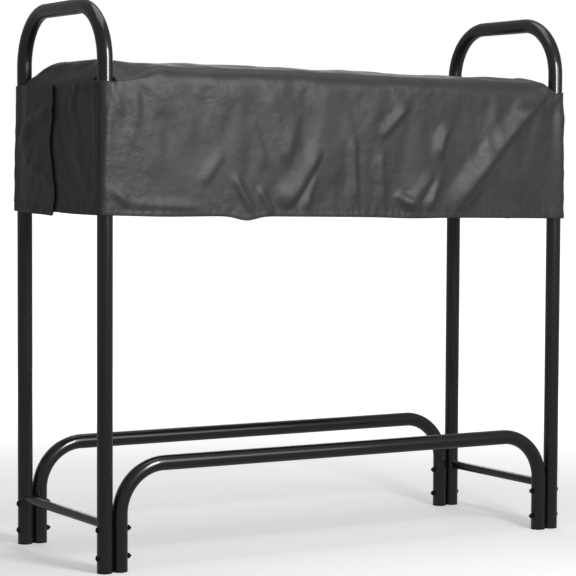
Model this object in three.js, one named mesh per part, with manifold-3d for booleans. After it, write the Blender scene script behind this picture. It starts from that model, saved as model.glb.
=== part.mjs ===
// Firewood log rack with a slide-down cover.
// Two bent tube hoops stand at the ends, two bent base rails join them, and four pairs of
// bolts clamp each rail leg against its upright. A fabric cover hangs over the top of the
// stack, and its end flaps close round the uprights with hook-and-loop tape.
// Millimetres. X runs along the rack, Y from front to rear, Z up. The origin is on the floor,
// in the middle of the rack.

import * as THREE from 'three';
import { mergeVertices } from 'three/addons/utils/BufferGeometryUtils.js';
import Module from 'manifold-3d';

const wasm = await Module();
wasm.setup();

// ---- driving dimensions ----

const SPAN = 1122; // between the centre lines of the left and right hoops
const DEPTH = 390; // between the centre lines of a hoop's front and rear uprights
const HEIGHT = 1156; // floor to the top of the hoops
const GAP = 0.3; // clearance kept between pieces that touch

const TUBE_OD = 32;
const TUBE_WALL = 1.5;
const TUBE_SIDES = 16;
const BEND_STEPS = 6;
const HOOP_BEND = 115; // centre-line radius of the hoop's two top bends
const RAIL_HEIGHT = 215; // centre line of the base rails above the floor
const RAIL_BEND = 100; // centre-line radius where a rail turns down into its leg
const LEG_OFFSET = 33.6; // upright to rail leg, centre to centre

const CROSSBAR_OD = 19;
const CROSSBAR_WALL = 1.2;
const CROSSBAR_HEIGHT = 99;

const BOLT_HEIGHTS = { lower: 31, upper: 88 };
const BOLT_RADIUS = 3;
const BOLT_HOLE_RADIUS = 3.4;
const BOLT_TIP = 9.2; // shank length past the rail leg, with the nut on it
const BOLT_HEAD = { radius: 6.2, height: 3.9 };
const NUT = { acrossFlats: 10, thickness: 5, hole: 3.35 };
const ROUND_SIDES = 12;

const PLUG = { head: 3, radius: 16, edge: 1, stemRadius: 13.7, stemTop: 18, lead: 1 };

const FABRIC = 2; // thickness of the cover's panels
const COVER_EASE = 1.5; // play between the cover and the tubes
const HEM = { left: 722, right: 706 }; // the hem hangs a little lower at the right end
const CORNER_TOP = 985; // top of the cover where the uprights come through it
const EDGE_TOP = 1016; // long top edges of the cover
const CROWN = 10; // rise of the top panel from its long edges to its middle
const SHOULDER = { start: 500, end: 545 }; // where a long top edge drops to the corner
const TONGUE = { half: 174, start: 543, top: 538, bottom: 957 }; // top panel's end, between the uprights
const TOP_STEPS = 8;
const PANEL_BAND = { low: 650, high: 1100 }; // height of the raw bands that panel outlines trim
const FRONT_FLAP_EDGE = 55; // free edge of a front flap, measured in Y
const REAR_FLAP_EDGE = 0; // free edge of a rear flap, which laps over the front one
const JOGGLE = 120; // where a rear flap has stepped out clear of the front flap
const FLAP_SAG = 8; // extra drop of a rear flap's hem at its free edge
const TAPE = { thickness: 1.2, low: 738, high: 962, front: 18, rear: 43 };

const upright = { x: SPAN / 2, y: DEPTH / 2, radius: TUBE_OD / 2 };
const legX = upright.x - LEG_OFFSET;
const tubeBottom = PLUG.head + GAP;
const faceIn = upright.y + upright.radius + COVER_EASE; // inner face of the front and rear panels
const endIn = upright.x + upright.radius + COVER_EASE; // inner face of the end flaps
const FRONT = -1;
const REAR = 1;
const ENDS = { left: -1, right: 1 };
const SIDES = { front: FRONT, rear: REAR };

// ---- finishes ----

const finishes = {
  powderCoat: { color: 0x1d1d1e, roughness: 0.42, metalness: 0.15 },
  blackBolt: { color: 0x232323, roughness: 0.35, metalness: 0.7 },
  plug: { color: 0x161616, roughness: 0.6, metalness: 0 },
  coatedFabric: { color: 0x4a4b4d, roughness: 0.62, metalness: 0 },
  tape: { color: 0x1a1a1a, roughness: 0.95, metalness: 0 },
};

// ---- centre lines ----

/** A centre line of straight runs joined by round bends, read only at the stations that shape it. */
class BentLine extends THREE.Curve {
  constructor(corners, radius) {
    super();
    this.points = [];
    this.directions = [];
    this.add(corners[0], corners[1].clone().sub(corners[0]).normalize());
    for (let i = 1; i < corners.length - 1; i += 1) {
      this.addBend(corners[i - 1], corners[i], corners[i + 1], radius);
    }
    const last = corners.length - 1;
    this.add(corners[last], corners[last].clone().sub(corners[last - 1]).normalize());
  }

  add(point, direction) {
    this.points.push(point.clone());
    this.directions.push(direction.clone());
  }

  addBend(before, corner, after, radius) {
    const into = corner.clone().sub(before).normalize();
    const away = after.clone().sub(corner).normalize();
    const turn = into.angleTo(away);
    const start = corner.clone().addScaledVector(into, -radius * Math.tan(turn / 2));
    const inward = away.clone().addScaledVector(into, -away.dot(into)).normalize();
    for (let i = 0; i <= BEND_STEPS; i += 1) {
      const angle = (turn * i) / BEND_STEPS;
      const point = start.clone().addScaledVector(into, radius * Math.sin(angle));
      point.addScaledVector(inward, radius * (1 - Math.cos(angle)));
      const direction = into.clone().multiplyScalar(Math.cos(angle));
      this.add(point, direction.addScaledVector(inward, Math.sin(angle)));
    }
  }

  get steps() {
    return this.points.length - 1;
  }

  getPointAt(u, target = new THREE.Vector3()) {
    return target.copy(this.points[Math.round(u * this.steps)]);
  }

  getTangentAt(u, target = new THREE.Vector3()) {
    return target.copy(this.directions[Math.round(u * this.steps)]);
  }
}

// ---- shapes ----

/** Corner points of a regular polygon round the origin, the first of them on the first axis. */
function ringPoints(radius, sides) {
  const turn = (2 * Math.PI) / sides;
  return Array.from({ length: sides }, (_, i) => (
    new THREE.Vector2(radius * Math.cos(turn * i), radius * Math.sin(turn * i))
  ));
}

/** A hollow tube, open at both ends, along a bent centre line. */
function tubeAlong(line, outerDiameter, wall) {
  const section = new THREE.Shape(ringPoints(outerDiameter / 2, TUBE_SIDES));
  section.holes.push(new THREE.Path(ringPoints(outerDiameter / 2 - wall, TUBE_SIDES)));
  return new THREE.ExtrudeGeometry(section, { steps: line.steps, extrudePath: line });
}

/** A closed solid for cutting and joining. */
function toSolid(geometry) {
  const bare = geometry.clone();
  bare.deleteAttribute('normal');
  bare.deleteAttribute('uv');
  const welded = mergeVertices(bare, 1e-4);
  return new wasm.Manifold(new wasm.Mesh({
    numProp: 3,
    vertProperties: new Float32Array(welded.attributes.position.array),
    triVerts: new Uint32Array(welded.index.array),
  }));
}

/** The geometry of a solid that has been cut or joined. */
function toGeometry(solid) {
  const { vertProperties, triVerts } = solid.getMesh();
  const geometry = new THREE.BufferGeometry();
  geometry.setAttribute('position', new THREE.BufferAttribute(new Float32Array(vertProperties), 3));
  geometry.setIndex(new THREE.BufferAttribute(new Uint32Array(triVerts), 1));
  return geometry;
}

/** Cut several tools out of a geometry. */
function cut(geometry, tools) {
  return toGeometry(tools.reduce((solid, tool) => solid.subtract(toSolid(tool)), toSolid(geometry)));
}

/** What two geometries have in common. */
function common(first, second) {
  return toGeometry(toSolid(first).intersect(toSolid(second)));
}

/** A rod along X through a tube leg, used to drill its bolt hole. */
function drillAlongX(x, y, z) {
  const rod = new THREE.CylinderGeometry(BOLT_HOLE_RADIUS, BOLT_HOLE_RADIUS, TUBE_OD * 1.1, ROUND_SIDES);
  rod.rotateZ(Math.PI / 2);
  rod.translate(x, y, z);
  return rod;
}

/** An outline in X and Z made into a slab between two Y values. */
function slabAlongY(outline, low, high) {
  const slab = new THREE.ExtrudeGeometry(outline, { depth: high - low, bevelEnabled: false });
  slab.rotateX(Math.PI / 2);
  slab.translate(0, high, 0);
  return slab;
}

/** An outline in Y and Z made into a slab between two X values. */
function slabAlongX(outline, low, high) {
  const slab = new THREE.ExtrudeGeometry(outline, { depth: high - low, bevelEnabled: false });
  const toRow = new THREE.Matrix4().makeBasis(
    new THREE.Vector3(0, 1, 0), new THREE.Vector3(0, 0, 1), new THREE.Vector3(1, 0, 0),
  );
  slab.applyMatrix4(toRow);
  slab.translate(low, 0, 0);
  return slab;
}

/** A plan outline in X and Y made into an upright band. */
function bandAlongZ(plan) {
  const { low, high } = PANEL_BAND;
  const band = new THREE.ExtrudeGeometry(plan, { depth: high - low, bevelEnabled: false, curveSegments: 6 });
  band.translate(0, 0, low);
  return band;
}

/** A closed outline from a list of [u, v] points. */
function outlineOf(points) {
  return new THREE.Shape(points.map(([u, v]) => new THREE.Vector2(u, v)));
}

/** Height of the hem at a place along the rack. */
function hemAt(x) {
  return HEM.left + (HEM.right - HEM.left) * (x / SPAN + 0.5);
}

// ---- frame ----

function hoopGeometry(end) {
  const x = end * upright.x;
  const top = HEIGHT - upright.radius;
  const line = new BentLine([
    new THREE.Vector3(x, -upright.y, tubeBottom),
    new THREE.Vector3(x, -upright.y, top),
    new THREE.Vector3(x, upright.y, top),
    new THREE.Vector3(x, upright.y, tubeBottom),
  ], HOOP_BEND);
  const drills = Object.values(SIDES).flatMap((side) => (
    Object.values(BOLT_HEIGHTS).map((z) => drillAlongX(x, side * upright.y, z))
  ));
  return cut(tubeAlong(line, TUBE_OD, TUBE_WALL), drills);
}

function railGeometry(side) {
  const y = side * upright.y;
  const line = new BentLine([
    new THREE.Vector3(-legX, y, tubeBottom),
    new THREE.Vector3(-legX, y, RAIL_HEIGHT),
    new THREE.Vector3(legX, y, RAIL_HEIGHT),
    new THREE.Vector3(legX, y, tubeBottom),
  ], RAIL_BEND);
  const drills = Object.values(ENDS).flatMap((end) => (
    Object.values(BOLT_HEIGHTS).map((z) => drillAlongX(end * legX, y, z))
  ));
  return cut(tubeAlong(line, TUBE_OD, TUBE_WALL), drills);
}

/** The crossbar's two ends are coped to the round of the uprights it is welded to. */
function crossbarGeometry(end) {
  const x = end * upright.x;
  const reach = upright.y - upright.radius / 2;
  const line = new BentLine([
    new THREE.Vector3(x, -reach, CROSSBAR_HEIGHT),
    new THREE.Vector3(x, reach, CROSSBAR_HEIGHT),
  ], 0);
  const radius = upright.radius + GAP;
  const copes = Object.values(SIDES).map((side) => {
    const cope = new THREE.CylinderGeometry(radius, radius, 2 * CROSSBAR_OD, 2 * TUBE_SIDES);
    cope.rotateX(Math.PI / 2);
    cope.translate(x, side * upright.y, CROSSBAR_HEIGHT);
    return cope;
  });
  return cut(tubeAlong(line, CROSSBAR_OD, CROSSBAR_WALL), copes);
}

/** A pressed-in plug: a head as wide as the tube, and a stem inside it. */
function plugGeometry() {
  const { head, radius, edge, stemRadius, stemTop, lead } = PLUG;
  const profile = [
    [0, 0], [radius - edge, 0], [radius, edge], [radius, head], [stemRadius, head],
    [stemRadius, stemTop - lead], [stemRadius - lead, stemTop], [0, stemTop],
  ];
  const plug = new THREE.LatheGeometry(profile.map(([r, z]) => new THREE.Vector2(r, z)), TUBE_SIDES);
  plug.rotateX(Math.PI / 2);
  return plug;
}

/** A round-headed bolt along +Y, its head's seat at zero. */
function boltGeometry() {
  const { radius, height } = BOLT_HEAD;
  const length = LEG_OFFSET + TUBE_OD + BOLT_TIP;
  const profile = [
    [0, -height], [radius * 0.55, -height * 0.85], [radius * 0.9, -height * 0.5], [radius, -height * 0.15],
    [radius, 0], [BOLT_RADIUS, 0], [BOLT_RADIUS, length - 1], [BOLT_RADIUS - 0.8, length], [0, length],
  ];
  return new THREE.LatheGeometry(profile.map(([r, y]) => new THREE.Vector2(r, y)), ROUND_SIDES);
}

/** A hexagon nut along +Z. */
function nutGeometry() {
  const hexagon = new THREE.Shape(ringPoints(NUT.acrossFlats / Math.sqrt(3), 6));
  hexagon.holes.push(new THREE.Path(ringPoints(NUT.hole, ROUND_SIDES)));
  return new THREE.ExtrudeGeometry(hexagon, { depth: NUT.thickness, bevelEnabled: false });
}

// ---- cover ----

/** The front or rear panel, which wraps a quarter turn round each upright to the end flaps. */
function longPanelGeometry(side) {
  const { x, y, radius } = upright;
  const inner = radius + COVER_EASE;
  const outer = inner + FABRIC;
  const plan = new THREE.Shape();
  plan.moveTo(-x - outer, -y);
  plan.absarc(-x, -y, outer, Math.PI, 1.5 * Math.PI, false);
  plan.absarc(x, -y, outer, 1.5 * Math.PI, 2 * Math.PI, false);
  plan.lineTo(x + inner, -y);
  plan.absarc(x, -y, inner, 2 * Math.PI, 1.5 * Math.PI, true);
  plan.absarc(-x, -y, inner, 1.5 * Math.PI, Math.PI, true);
  const { start, end } = SHOULDER;
  const reach = x + TUBE_OD;
  const outline = new THREE.Shape();
  outline.moveTo(-reach, hemAt(-reach));
  outline.lineTo(reach, hemAt(reach));
  outline.lineTo(reach, CORNER_TOP);
  outline.lineTo(end, CORNER_TOP);
  outline.quadraticCurveTo(end - 12, EDGE_TOP, start, EDGE_TOP);
  outline.lineTo(-start, EDGE_TOP);
  outline.quadraticCurveTo(12 - end, EDGE_TOP, -end, CORNER_TOP);
  outline.lineTo(-reach, CORNER_TOP);
  const band = bandAlongZ(plan);
  if (side === REAR) {
    band.rotateZ(Math.PI);
  }
  return common(band, slabAlongY(outline, -y - DEPTH, y + DEPTH));
}

/** The crowned top panel, whose ends pass between the uprights and tuck down inside the flaps. */
function topPanelGeometry() {
  const width = faceIn - GAP - 0.7;
  const reach = endIn - 3;
  const { half, start, top, bottom } = TONGUE;
  const slope = reach - top;
  const section = outlineOf([
    [-reach, bottom], [-reach + FABRIC, bottom], [-reach + FABRIC, CORNER_TOP - 1.3], [-top + 0.6, EDGE_TOP],
    [top - 0.6, EDGE_TOP], [reach - FABRIC, CORNER_TOP - 1.3], [reach - FABRIC, bottom], [reach, bottom],
    [reach, CORNER_TOP], [top, EDGE_TOP + FABRIC], [-top, EDGE_TOP + FABRIC], [-reach, CORNER_TOP],
  ]);
  const panel = new THREE.ExtrudeGeometry(section, { depth: 2 * width, steps: TOP_STEPS, bevelEnabled: false });
  panel.rotateX(Math.PI / 2);
  panel.translate(0, width, 0);
  const place = panel.attributes.position;
  for (let i = 0; i < place.count; i += 1) {
    const across = place.getY(i) / width;
    const inEnd = Math.min(1, Math.max(0, (Math.abs(place.getX(i)) - top) / slope));
    place.setZ(i, place.getZ(i) + CROWN * (1 - across * across) * (1 - inEnd));
  }
  const corners = Object.values(ENDS).flatMap((end) => Object.values(SIDES).map((side) => {
    const notch = new THREE.BoxGeometry(2 * (reach - start), 2 * (width - half), HEIGHT);
    notch.translate(end * (reach + 1), side * (width + 1), HEIGHT / 2);
    return notch;
  }));
  return cut(panel, corners);
}

/** A flap's outline in Y and Z, from its hinge at the upright to its free edge. */
function flapOutline(end, side, freeEdge, sag) {
  const hinge = side * (upright.y - 0.5);
  const hem = hemAt(end * upright.x);
  return outlineOf([[hinge, hem], [freeEdge, hem - sag], [freeEdge, CORNER_TOP], [hinge, CORNER_TOP]]);
}

/** The inner flap, which lies flat along the rack's end. */
function frontFlapGeometry(end) {
  const faces = [end * endIn, end * (endIn + FABRIC)];
  return slabAlongX(flapOutline(end, FRONT, FRONT_FLAP_EDGE, 0), Math.min(...faces), Math.max(...faces));
}

/** The outer flap, stepped outward so that it laps over the front flap and both tapes. */
function rearFlapGeometry(end) {
  const lap = FABRIC + 2 * TAPE.thickness + 3 * GAP;
  const hinge = upright.y - 0.5;
  const plan = outlineOf([
    [end * endIn, hinge], [end * (endIn + FABRIC), hinge], [end * (endIn + FABRIC + lap), JOGGLE],
    [end * (endIn + FABRIC + lap), -TUBE_OD], [end * (endIn + lap), -TUBE_OD], [end * (endIn + lap), JOGGLE],
  ]);
  const outline = flapOutline(end, REAR, REAR_FLAP_EDGE, FLAP_SAG);
  return common(bandAlongZ(plan), slabAlongX(outline, -SPAN, SPAN));
}

/** One strip of the closure; layer 0 lies on the front flap, layer 1 on the rear flap. */
function tapeGeometry(end, layer) {
  const near = endIn + FABRIC + GAP + layer * (TAPE.thickness + GAP);
  const faces = [end * near, end * (near + TAPE.thickness)];
  const { low, high, front, rear } = TAPE;
  const outline = outlineOf([[front, low], [rear, low], [rear, high], [front, high]]);
  return slabAlongX(outline, Math.min(...faces), Math.max(...faces));
}

// ---- assembly ----

const group = new THREE.Group();

function addPiece(name, geometry, finish, parent = group) {
  const piece = new THREE.Mesh(geometry, new THREE.MeshStandardMaterial(finish));
  piece.name = name;
  parent.add(piece);
  return piece;
}

for (const [endName, end] of Object.entries(ENDS)) {
  addPiece(`${endName}_end_hoop`, hoopGeometry(end), finishes.powderCoat);
  addPiece(`${endName}_crossbar`, crossbarGeometry(end), finishes.powderCoat);
}

for (const [sideName, side] of Object.entries(SIDES)) {
  addPiece(`${sideName}_base_rail`, railGeometry(side), finishes.powderCoat);
}

for (const [endName, end] of Object.entries(ENDS)) {
  for (const [sideName, side] of Object.entries(SIDES)) {
    const corner = new THREE.Group();
    corner.position.set(end * upright.x, side * upright.y, 0);
    group.add(corner);
    const label = `${endName}_${sideName}`;
    addPiece(`${label}_upright_plug`, plugGeometry(), finishes.plug, corner);
    const legPlug = addPiece(`${label}_leg_plug`, plugGeometry(), finishes.plug, corner);
    legPlug.position.x = -end * LEG_OFFSET;
    for (const [levelName, height] of Object.entries(BOLT_HEIGHTS)) {
      const bolt = addPiece(`${label}_${levelName}_bolt`, boltGeometry(), finishes.blackBolt, corner);
      bolt.position.set(end * (upright.radius + GAP), 0, height);
      bolt.rotation.z = (end * Math.PI) / 2;
      const nut = addPiece(`${label}_${levelName}_nut`, nutGeometry(), finishes.blackBolt, corner);
      nut.position.set(-end * (LEG_OFFSET + upright.radius + GAP), 0, height);
      nut.rotation.y = (-end * Math.PI) / 2;
    }
  }
}

addPiece('cover_top_panel', topPanelGeometry(), finishes.coatedFabric);
addPiece('cover_front_panel', longPanelGeometry(FRONT), finishes.coatedFabric);
addPiece('cover_rear_panel', longPanelGeometry(REAR), finishes.coatedFabric);

for (const [endName, end] of Object.entries(ENDS)) {
  addPiece(`${endName}_front_flap`, frontFlapGeometry(end), finishes.coatedFabric);
  addPiece(`${endName}_rear_flap`, rearFlapGeometry(end), finishes.coatedFabric);
  addPiece(`${endName}_loop_tape`, tapeGeometry(end, 0), finishes.tape);
  addPiece(`${endName}_hook_tape`, tapeGeometry(end, 1), finishes.tape);
}

export default group;
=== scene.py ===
"""Looks of the firewood log rack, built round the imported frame: tubes, fasteners, plugs and cover."""

import logging
import math
from dataclasses import dataclass, field
from enum import Enum
from typing import Optional, Sequence, Union

import bmesh
import bpy
import numpy as np
from mathutils import Matrix, Vector


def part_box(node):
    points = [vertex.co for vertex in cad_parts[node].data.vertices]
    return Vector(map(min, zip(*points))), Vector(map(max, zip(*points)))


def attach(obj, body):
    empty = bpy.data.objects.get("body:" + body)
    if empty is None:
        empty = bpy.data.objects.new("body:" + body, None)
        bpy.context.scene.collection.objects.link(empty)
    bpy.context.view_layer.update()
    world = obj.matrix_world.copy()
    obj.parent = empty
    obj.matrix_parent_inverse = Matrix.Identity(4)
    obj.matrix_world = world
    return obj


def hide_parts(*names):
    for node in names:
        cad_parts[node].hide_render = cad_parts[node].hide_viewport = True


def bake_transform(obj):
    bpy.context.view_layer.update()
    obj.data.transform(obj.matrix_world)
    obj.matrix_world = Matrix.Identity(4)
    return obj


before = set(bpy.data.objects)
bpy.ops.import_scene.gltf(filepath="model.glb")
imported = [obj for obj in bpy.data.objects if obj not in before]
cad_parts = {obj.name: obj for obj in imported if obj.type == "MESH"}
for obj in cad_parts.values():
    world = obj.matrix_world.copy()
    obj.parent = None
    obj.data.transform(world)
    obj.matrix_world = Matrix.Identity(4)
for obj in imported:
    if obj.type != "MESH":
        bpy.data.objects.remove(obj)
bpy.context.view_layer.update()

LOG = logging.getLogger("rack")

Array = np.ndarray
Colour = tuple[float, float, float]
Number = Union["Socket", float, int]

MM = 0.001
TURN = 2.0 * math.pi


class End(Enum):
    """The rack's two ends, with the sign of X there."""

    LEFT = -1
    RIGHT = 1


class Side(Enum):
    """The rack's two long sides, with the sign of Y there."""

    FRONT = -1
    REAR = 1


class Level(Enum):
    """The two bolts of a leg pair."""

    LOWER = "lower"
    UPPER = "upper"


def name_of(place: Enum) -> str:
    """The plain word for an end or a side, as the nodes spell it."""
    return place.name.lower()


# ---------------------------------------------------------------- sizes read off the frame


def corners(node: str) -> tuple[Array, Array]:
    """Lowest and highest corner of a node, as arrays."""
    low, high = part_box(node)
    return np.array(low), np.array(high)


@dataclass(frozen=True)
class FrameSizes:
    """Sizes of the steel frame, in metres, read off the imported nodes."""

    tube: float
    upright_x: float
    upright_y: float
    top: float
    leg_x: float
    rail_z: float
    foot: float
    bar: float
    bar_z: float

    @classmethod
    def read(cls) -> "FrameSizes":
        """Read the sizes off the nodes' boxes.

        Returns:
            The sizes of the tubes and where their centre lines run.
        """
        low, high = corners("right_end_hoop")
        tube = (high[0] - low[0]) / 2
        _, rail_high = corners("front_base_rail")
        bar_low, bar_high = corners("right_crossbar")
        return cls(
            tube=tube,
            upright_x=high[0] - tube,
            upright_y=high[1] - tube,
            top=high[2] - tube,
            leg_x=rail_high[0] - tube,
            rail_z=rail_high[2] - tube,
            foot=low[2],
            bar=(bar_high[0] - bar_low[0]) / 2,
            bar_z=(bar_high[2] + bar_low[2]) / 2,
        )


# ---------------------------------------------------------------- shader expressions


class Socket:
    """One output of a shader node, on which sums are written as plain Python."""

    def __init__(self, shader: "Shader", link: bpy.types.NodeSocket) -> None:
        """Wrap a node's output socket."""
        self.shader = shader
        self.link = link

    def math(self, operation: str, *others: Number, swap: bool = False) -> "Socket":
        """Add a Math node.

        Args:
            operation: The Math node's operation.
            others: Its other values, in order.
            swap: Put the first of the others before this value.

        Returns:
            The node's result.
        """
        terms: list[Number] = [self, *others]
        if swap:
            terms[0], terms[1] = terms[1], terms[0]
        return self.shader.node("ShaderNodeMath", {"operation": operation}, dict(enumerate(terms)))

    def __add__(self, other: Number) -> "Socket":
        """Sum."""
        return self.math("ADD", other)

    __radd__ = __add__

    def __sub__(self, other: Number) -> "Socket":
        """Difference."""
        return self.math("SUBTRACT", other)

    def __rsub__(self, other: Number) -> "Socket":
        """Difference, reflected."""
        return self.math("SUBTRACT", other, swap=True)

    def __mul__(self, other: Number) -> "Socket":
        """Product."""
        return self.math("MULTIPLY", other)

    __rmul__ = __mul__

    def __truediv__(self, other: Number) -> "Socket":
        """Quotient."""
        return self.math("DIVIDE", other)

    def __gt__(self, other: Number) -> "Socket":
        """1 where this is greater, else 0."""
        return self.math("GREATER_THAN", other)

    def __abs__(self) -> "Socket":
        """Size without sign."""
        return self.math("ABSOLUTE")

    def sine(self) -> "Socket":
        """Sine of an angle in radians."""
        return self.math("SINE")

    def smooth(self, low: float, high: float) -> "Socket":
        """0 below low, 1 above high, and an eased rise between them."""
        settings = {"interpolation_type": "SMOOTHSTEP"}
        return self.shader.node("ShaderNodeMapRange", settings,
                                {"Value": self, "From Min": low, "From Max": high})


class Shader:
    """A material whose nodes are added one expression at a time."""

    def __init__(self, name: str) -> None:
        """Start a material that holds only a surface and its output."""
        self.material = bpy.data.materials.new(name)
        self.material.use_nodes = True
        self.tree = self.material.node_tree
        self.tree.nodes.clear()
        self.surface = self.tree.nodes.new("ShaderNodeBsdfPrincipled")
        output = self.tree.nodes.new("ShaderNodeOutputMaterial")
        self.tree.links.new(self.surface.outputs["BSDF"], output.inputs["Surface"])

    def _give(self, target: bpy.types.NodeSocket, value: object) -> None:
        """Link a socket to another's output, or set its own value."""
        if isinstance(value, Socket):
            self.tree.links.new(value.link, target)
        elif isinstance(value, tuple) and len(target.default_value) == 4 and len(value) == 3:
            target.default_value = (*value, 1.0)
        else:
            target.default_value = value

    def node(
        self,
        kind: str,
        settings: Optional[dict[str, object]] = None,
        inputs: Optional[dict[Union[str, int], object]] = None,
        out: Union[str, int] = 0,
    ) -> Socket:
        """Add a node.

        Args:
            kind: The node's type.
            settings: Its properties, set first; "stops" are a ramp's (place, colour) pairs.
            inputs: Values or links for its sockets, by name or number.
            out: The output to hand back.

        Returns:
            That output, wrapped.
        """
        made = self.tree.nodes.new(kind)
        for key, value in (settings or {}).items():
            setattr(made, key, value)
        for key, value in (inputs or {}).items():
            self._give(made.inputs[key], value)
        return Socket(self, made.outputs[out])

    def place(self) -> Socket:
        """Where a point is in the rack's own frame, in metres."""
        return self.node("ShaderNodeTexCoord", out="Object")

    def cut(self) -> tuple[Socket, Socket]:
        """Where a point is on the flat cut of its own surface, in metres along each way."""
        flat = self.node("ShaderNodeUVMap", {"uv_map": "Cut"})
        across = self.node("ShaderNodeSeparateXYZ", inputs={0: flat}, out=0)
        along = self.node("ShaderNodeSeparateXYZ", inputs={0: flat}, out=1)
        return across, along

    def noise(self, where: Socket, per_metre: float, detail: float = 3.0, roughness: float = 0.5) -> Socket:
        """Soft noise with that many blobs to the metre."""
        inputs = {"Vector": where, "Scale": per_metre, "Detail": detail, "Roughness": roughness}
        return self.node("ShaderNodeTexNoise", {"noise_dimensions": "3D"}, inputs)

    def blend(self, share: Number, first: object, second: object) -> Socket:
        """A colour part way from the first to the second."""
        inputs = {0: share, 6: first, 7: second}
        return self.node("ShaderNodeMix", {"data_type": "RGBA"}, inputs, out=2)

    def bump(self, height: Socket, distance: float, strength: float = 1.0) -> Socket:
        """A normal that follows a height, whose full range stands for a distance in metres."""
        return self.node("ShaderNodeBump",
                         inputs={"Height": height, "Distance": distance, "Strength": strength})

    def finish(self, **values: object) -> bpy.types.Material:
        """Set the surface's sockets, spaces written as underscores, and hand back the material."""
        for key, value in values.items():
            self._give(self.surface.inputs[key.replace("_", " ")], value)
        return self.material


# ---------------------------------------------------------------- finishes


@dataclass(frozen=True)
class PowderCoat:
    """Semi-gloss black powder coat: a faint orange-peel skin, handling marks and dust near the floor."""

    colour: Colour = (0.0085, 0.0085, 0.0092)
    worn: Colour = (0.024, 0.024, 0.025)
    roughness: float = 0.27
    peel_per_metre: float = 620.0
    peel_height: float = 0.035 * MM

    def material(self) -> bpy.types.Material:
        """Build the material."""
        shader = Shader("powder_coat")
        where = shader.place()
        peel = shader.noise(where, self.peel_per_metre, 2.0)
        patches = shader.noise(where, 9.0, 5.0, 0.6)
        scuffs = shader.noise(where, 160.0, 4.0, 0.7).smooth(0.64, 0.8) * patches.smooth(0.5, 0.7)
        height = shader.node("ShaderNodeSeparateXYZ", inputs={0: where}, out=2)
        dust = (1.0 - height.smooth(0.0, 0.09)) * patches.smooth(0.35, 0.75)
        mark = scuffs * 0.5 + dust * 0.35
        return shader.finish(
            Base_Color=shader.blend(mark, self.colour, self.worn),
            Roughness=self.roughness + patches * 0.08 + mark * 0.2,
            Normal=shader.bump(peel, self.peel_height),
            Coat_Weight=1.0,
            Coat_Roughness=0.07,
            Specular_IOR_Level=0.5,
        )


@dataclass(frozen=True)
class BlackZinc:
    """Black zinc on steel: darker in the threads, with brighter rubbed edges and fine turning marks."""

    colour: Colour = (0.03, 0.03, 0.032)
    rubbed: Colour = (0.2, 0.2, 0.21)

    def material(self) -> bpy.types.Material:
        """Build the material."""
        shader = Shader("black_zinc")
        where = shader.place()
        grain = shader.noise(where, 900.0, 4.0, 0.65)
        cloud = shader.noise(where, 120.0, 3.0)
        edge = shader.node("ShaderNodeNewGeometry", out="Pointiness").smooth(0.52, 0.62)
        rub = edge * cloud.smooth(0.4, 0.65)
        return shader.finish(
            Base_Color=shader.blend(rub, self.colour, self.rubbed),
            Metallic=0.85,
            Roughness=0.3 + grain * 0.18 - rub * 0.08,
            Normal=shader.bump(grain, 0.02 * MM),
        )


@dataclass(frozen=True)
class MouldedPlastic:
    """Black moulded polyethylene: matt, faintly grained and greyed by grit underneath."""

    colour: Colour = (0.012, 0.012, 0.012)
    grit: Colour = (0.07, 0.066, 0.06)

    def material(self) -> bpy.types.Material:
        """Build the material."""
        shader = Shader("moulded_plastic")
        where = shader.place()
        grain = shader.noise(where, 1500.0, 2.0)
        height = shader.node("ShaderNodeSeparateXYZ", inputs={0: where}, out=2)
        grit = (1.0 - height.smooth(0.0, 0.0025)) * shader.noise(where, 300.0, 4.0).smooth(0.35, 0.7)
        return shader.finish(
            Base_Color=shader.blend(grit, self.colour, self.grit),
            Roughness=0.52 + grain * 0.15,
            Normal=shader.bump(grain, 0.02 * MM),
        )


@dataclass(frozen=True)
class CoatedFabric:
    """Charcoal woven polyester with a coating: plain weave and a soft sheen, its colour with a painted highlight
    on the crinkles' crests and painted shade between the threads.
    """

    colour: Colour = (0.037, 0.0375, 0.0385)
    pale: Colour = (0.055, 0.056, 0.058)
    thread: float = 0.62 * MM
    thread_height: float = 0.05 * MM
    crinkle_height: float = 2.6 * MM
    roughness: float = 0.42

    def weave(self, shader: Shader) -> Socket:
        """Height of a plain weave: warp and weft take turns on top, each a half-round thread.

        Args:
            shader: The material's shader.

        Returns:
            Height from 0 between the threads to 1 on top of one.
        """
        across, along = shader.cut()
        warp = (across * (math.pi / self.thread)).sine()
        weft = (along * (math.pi / self.thread)).sine()
        over = (warp * weft) > 0.0
        return over * abs(warp) + (1.0 - over) * abs(weft)

    def material(self) -> bpy.types.Material:
        """Build the material."""
        shader = Shader("coated_fabric")
        where = shader.place()
        weave = self.weave(shader)
        mottle = shader.noise(where, 16.0, 5.0, 0.62)
        worked = shader.noise(where, 5.5, 3.0, 0.6).smooth(0.4, 0.62)
        crinkle = shader.noise(where, 30.0, 3.0, 0.5)
        # Random pale mottle, plus a painted highlight on the crinkles' crests where the cloth is worked.
        mottle_and_crest_light = mottle.smooth(0.35, 0.75) * 0.6 + crinkle.smooth(0.5, 0.7) * worked * 0.3
        relief = shader.bump(crinkle * (worked * 0.65 + 0.35), self.crinkle_height)
        normal = shader.node(
            "ShaderNodeBump",
            inputs={"Height": weave, "Distance": self.thread_height, "Strength": 0.7, "Normal": relief},
        )
        return shader.finish(
            # Paler where a thread stands up in the weave: painted shade between the threads.
            Base_Color=shader.blend(mottle_and_crest_light * 0.8 + weave * 0.12, self.colour, self.pale),
            Roughness=self.roughness + crinkle * 0.12 - weave * 0.05,
            Normal=normal,
            Specular_IOR_Level=0.5,
            Sheen_Weight=0.1,
            Sheen_Roughness=0.45,
        )


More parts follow.
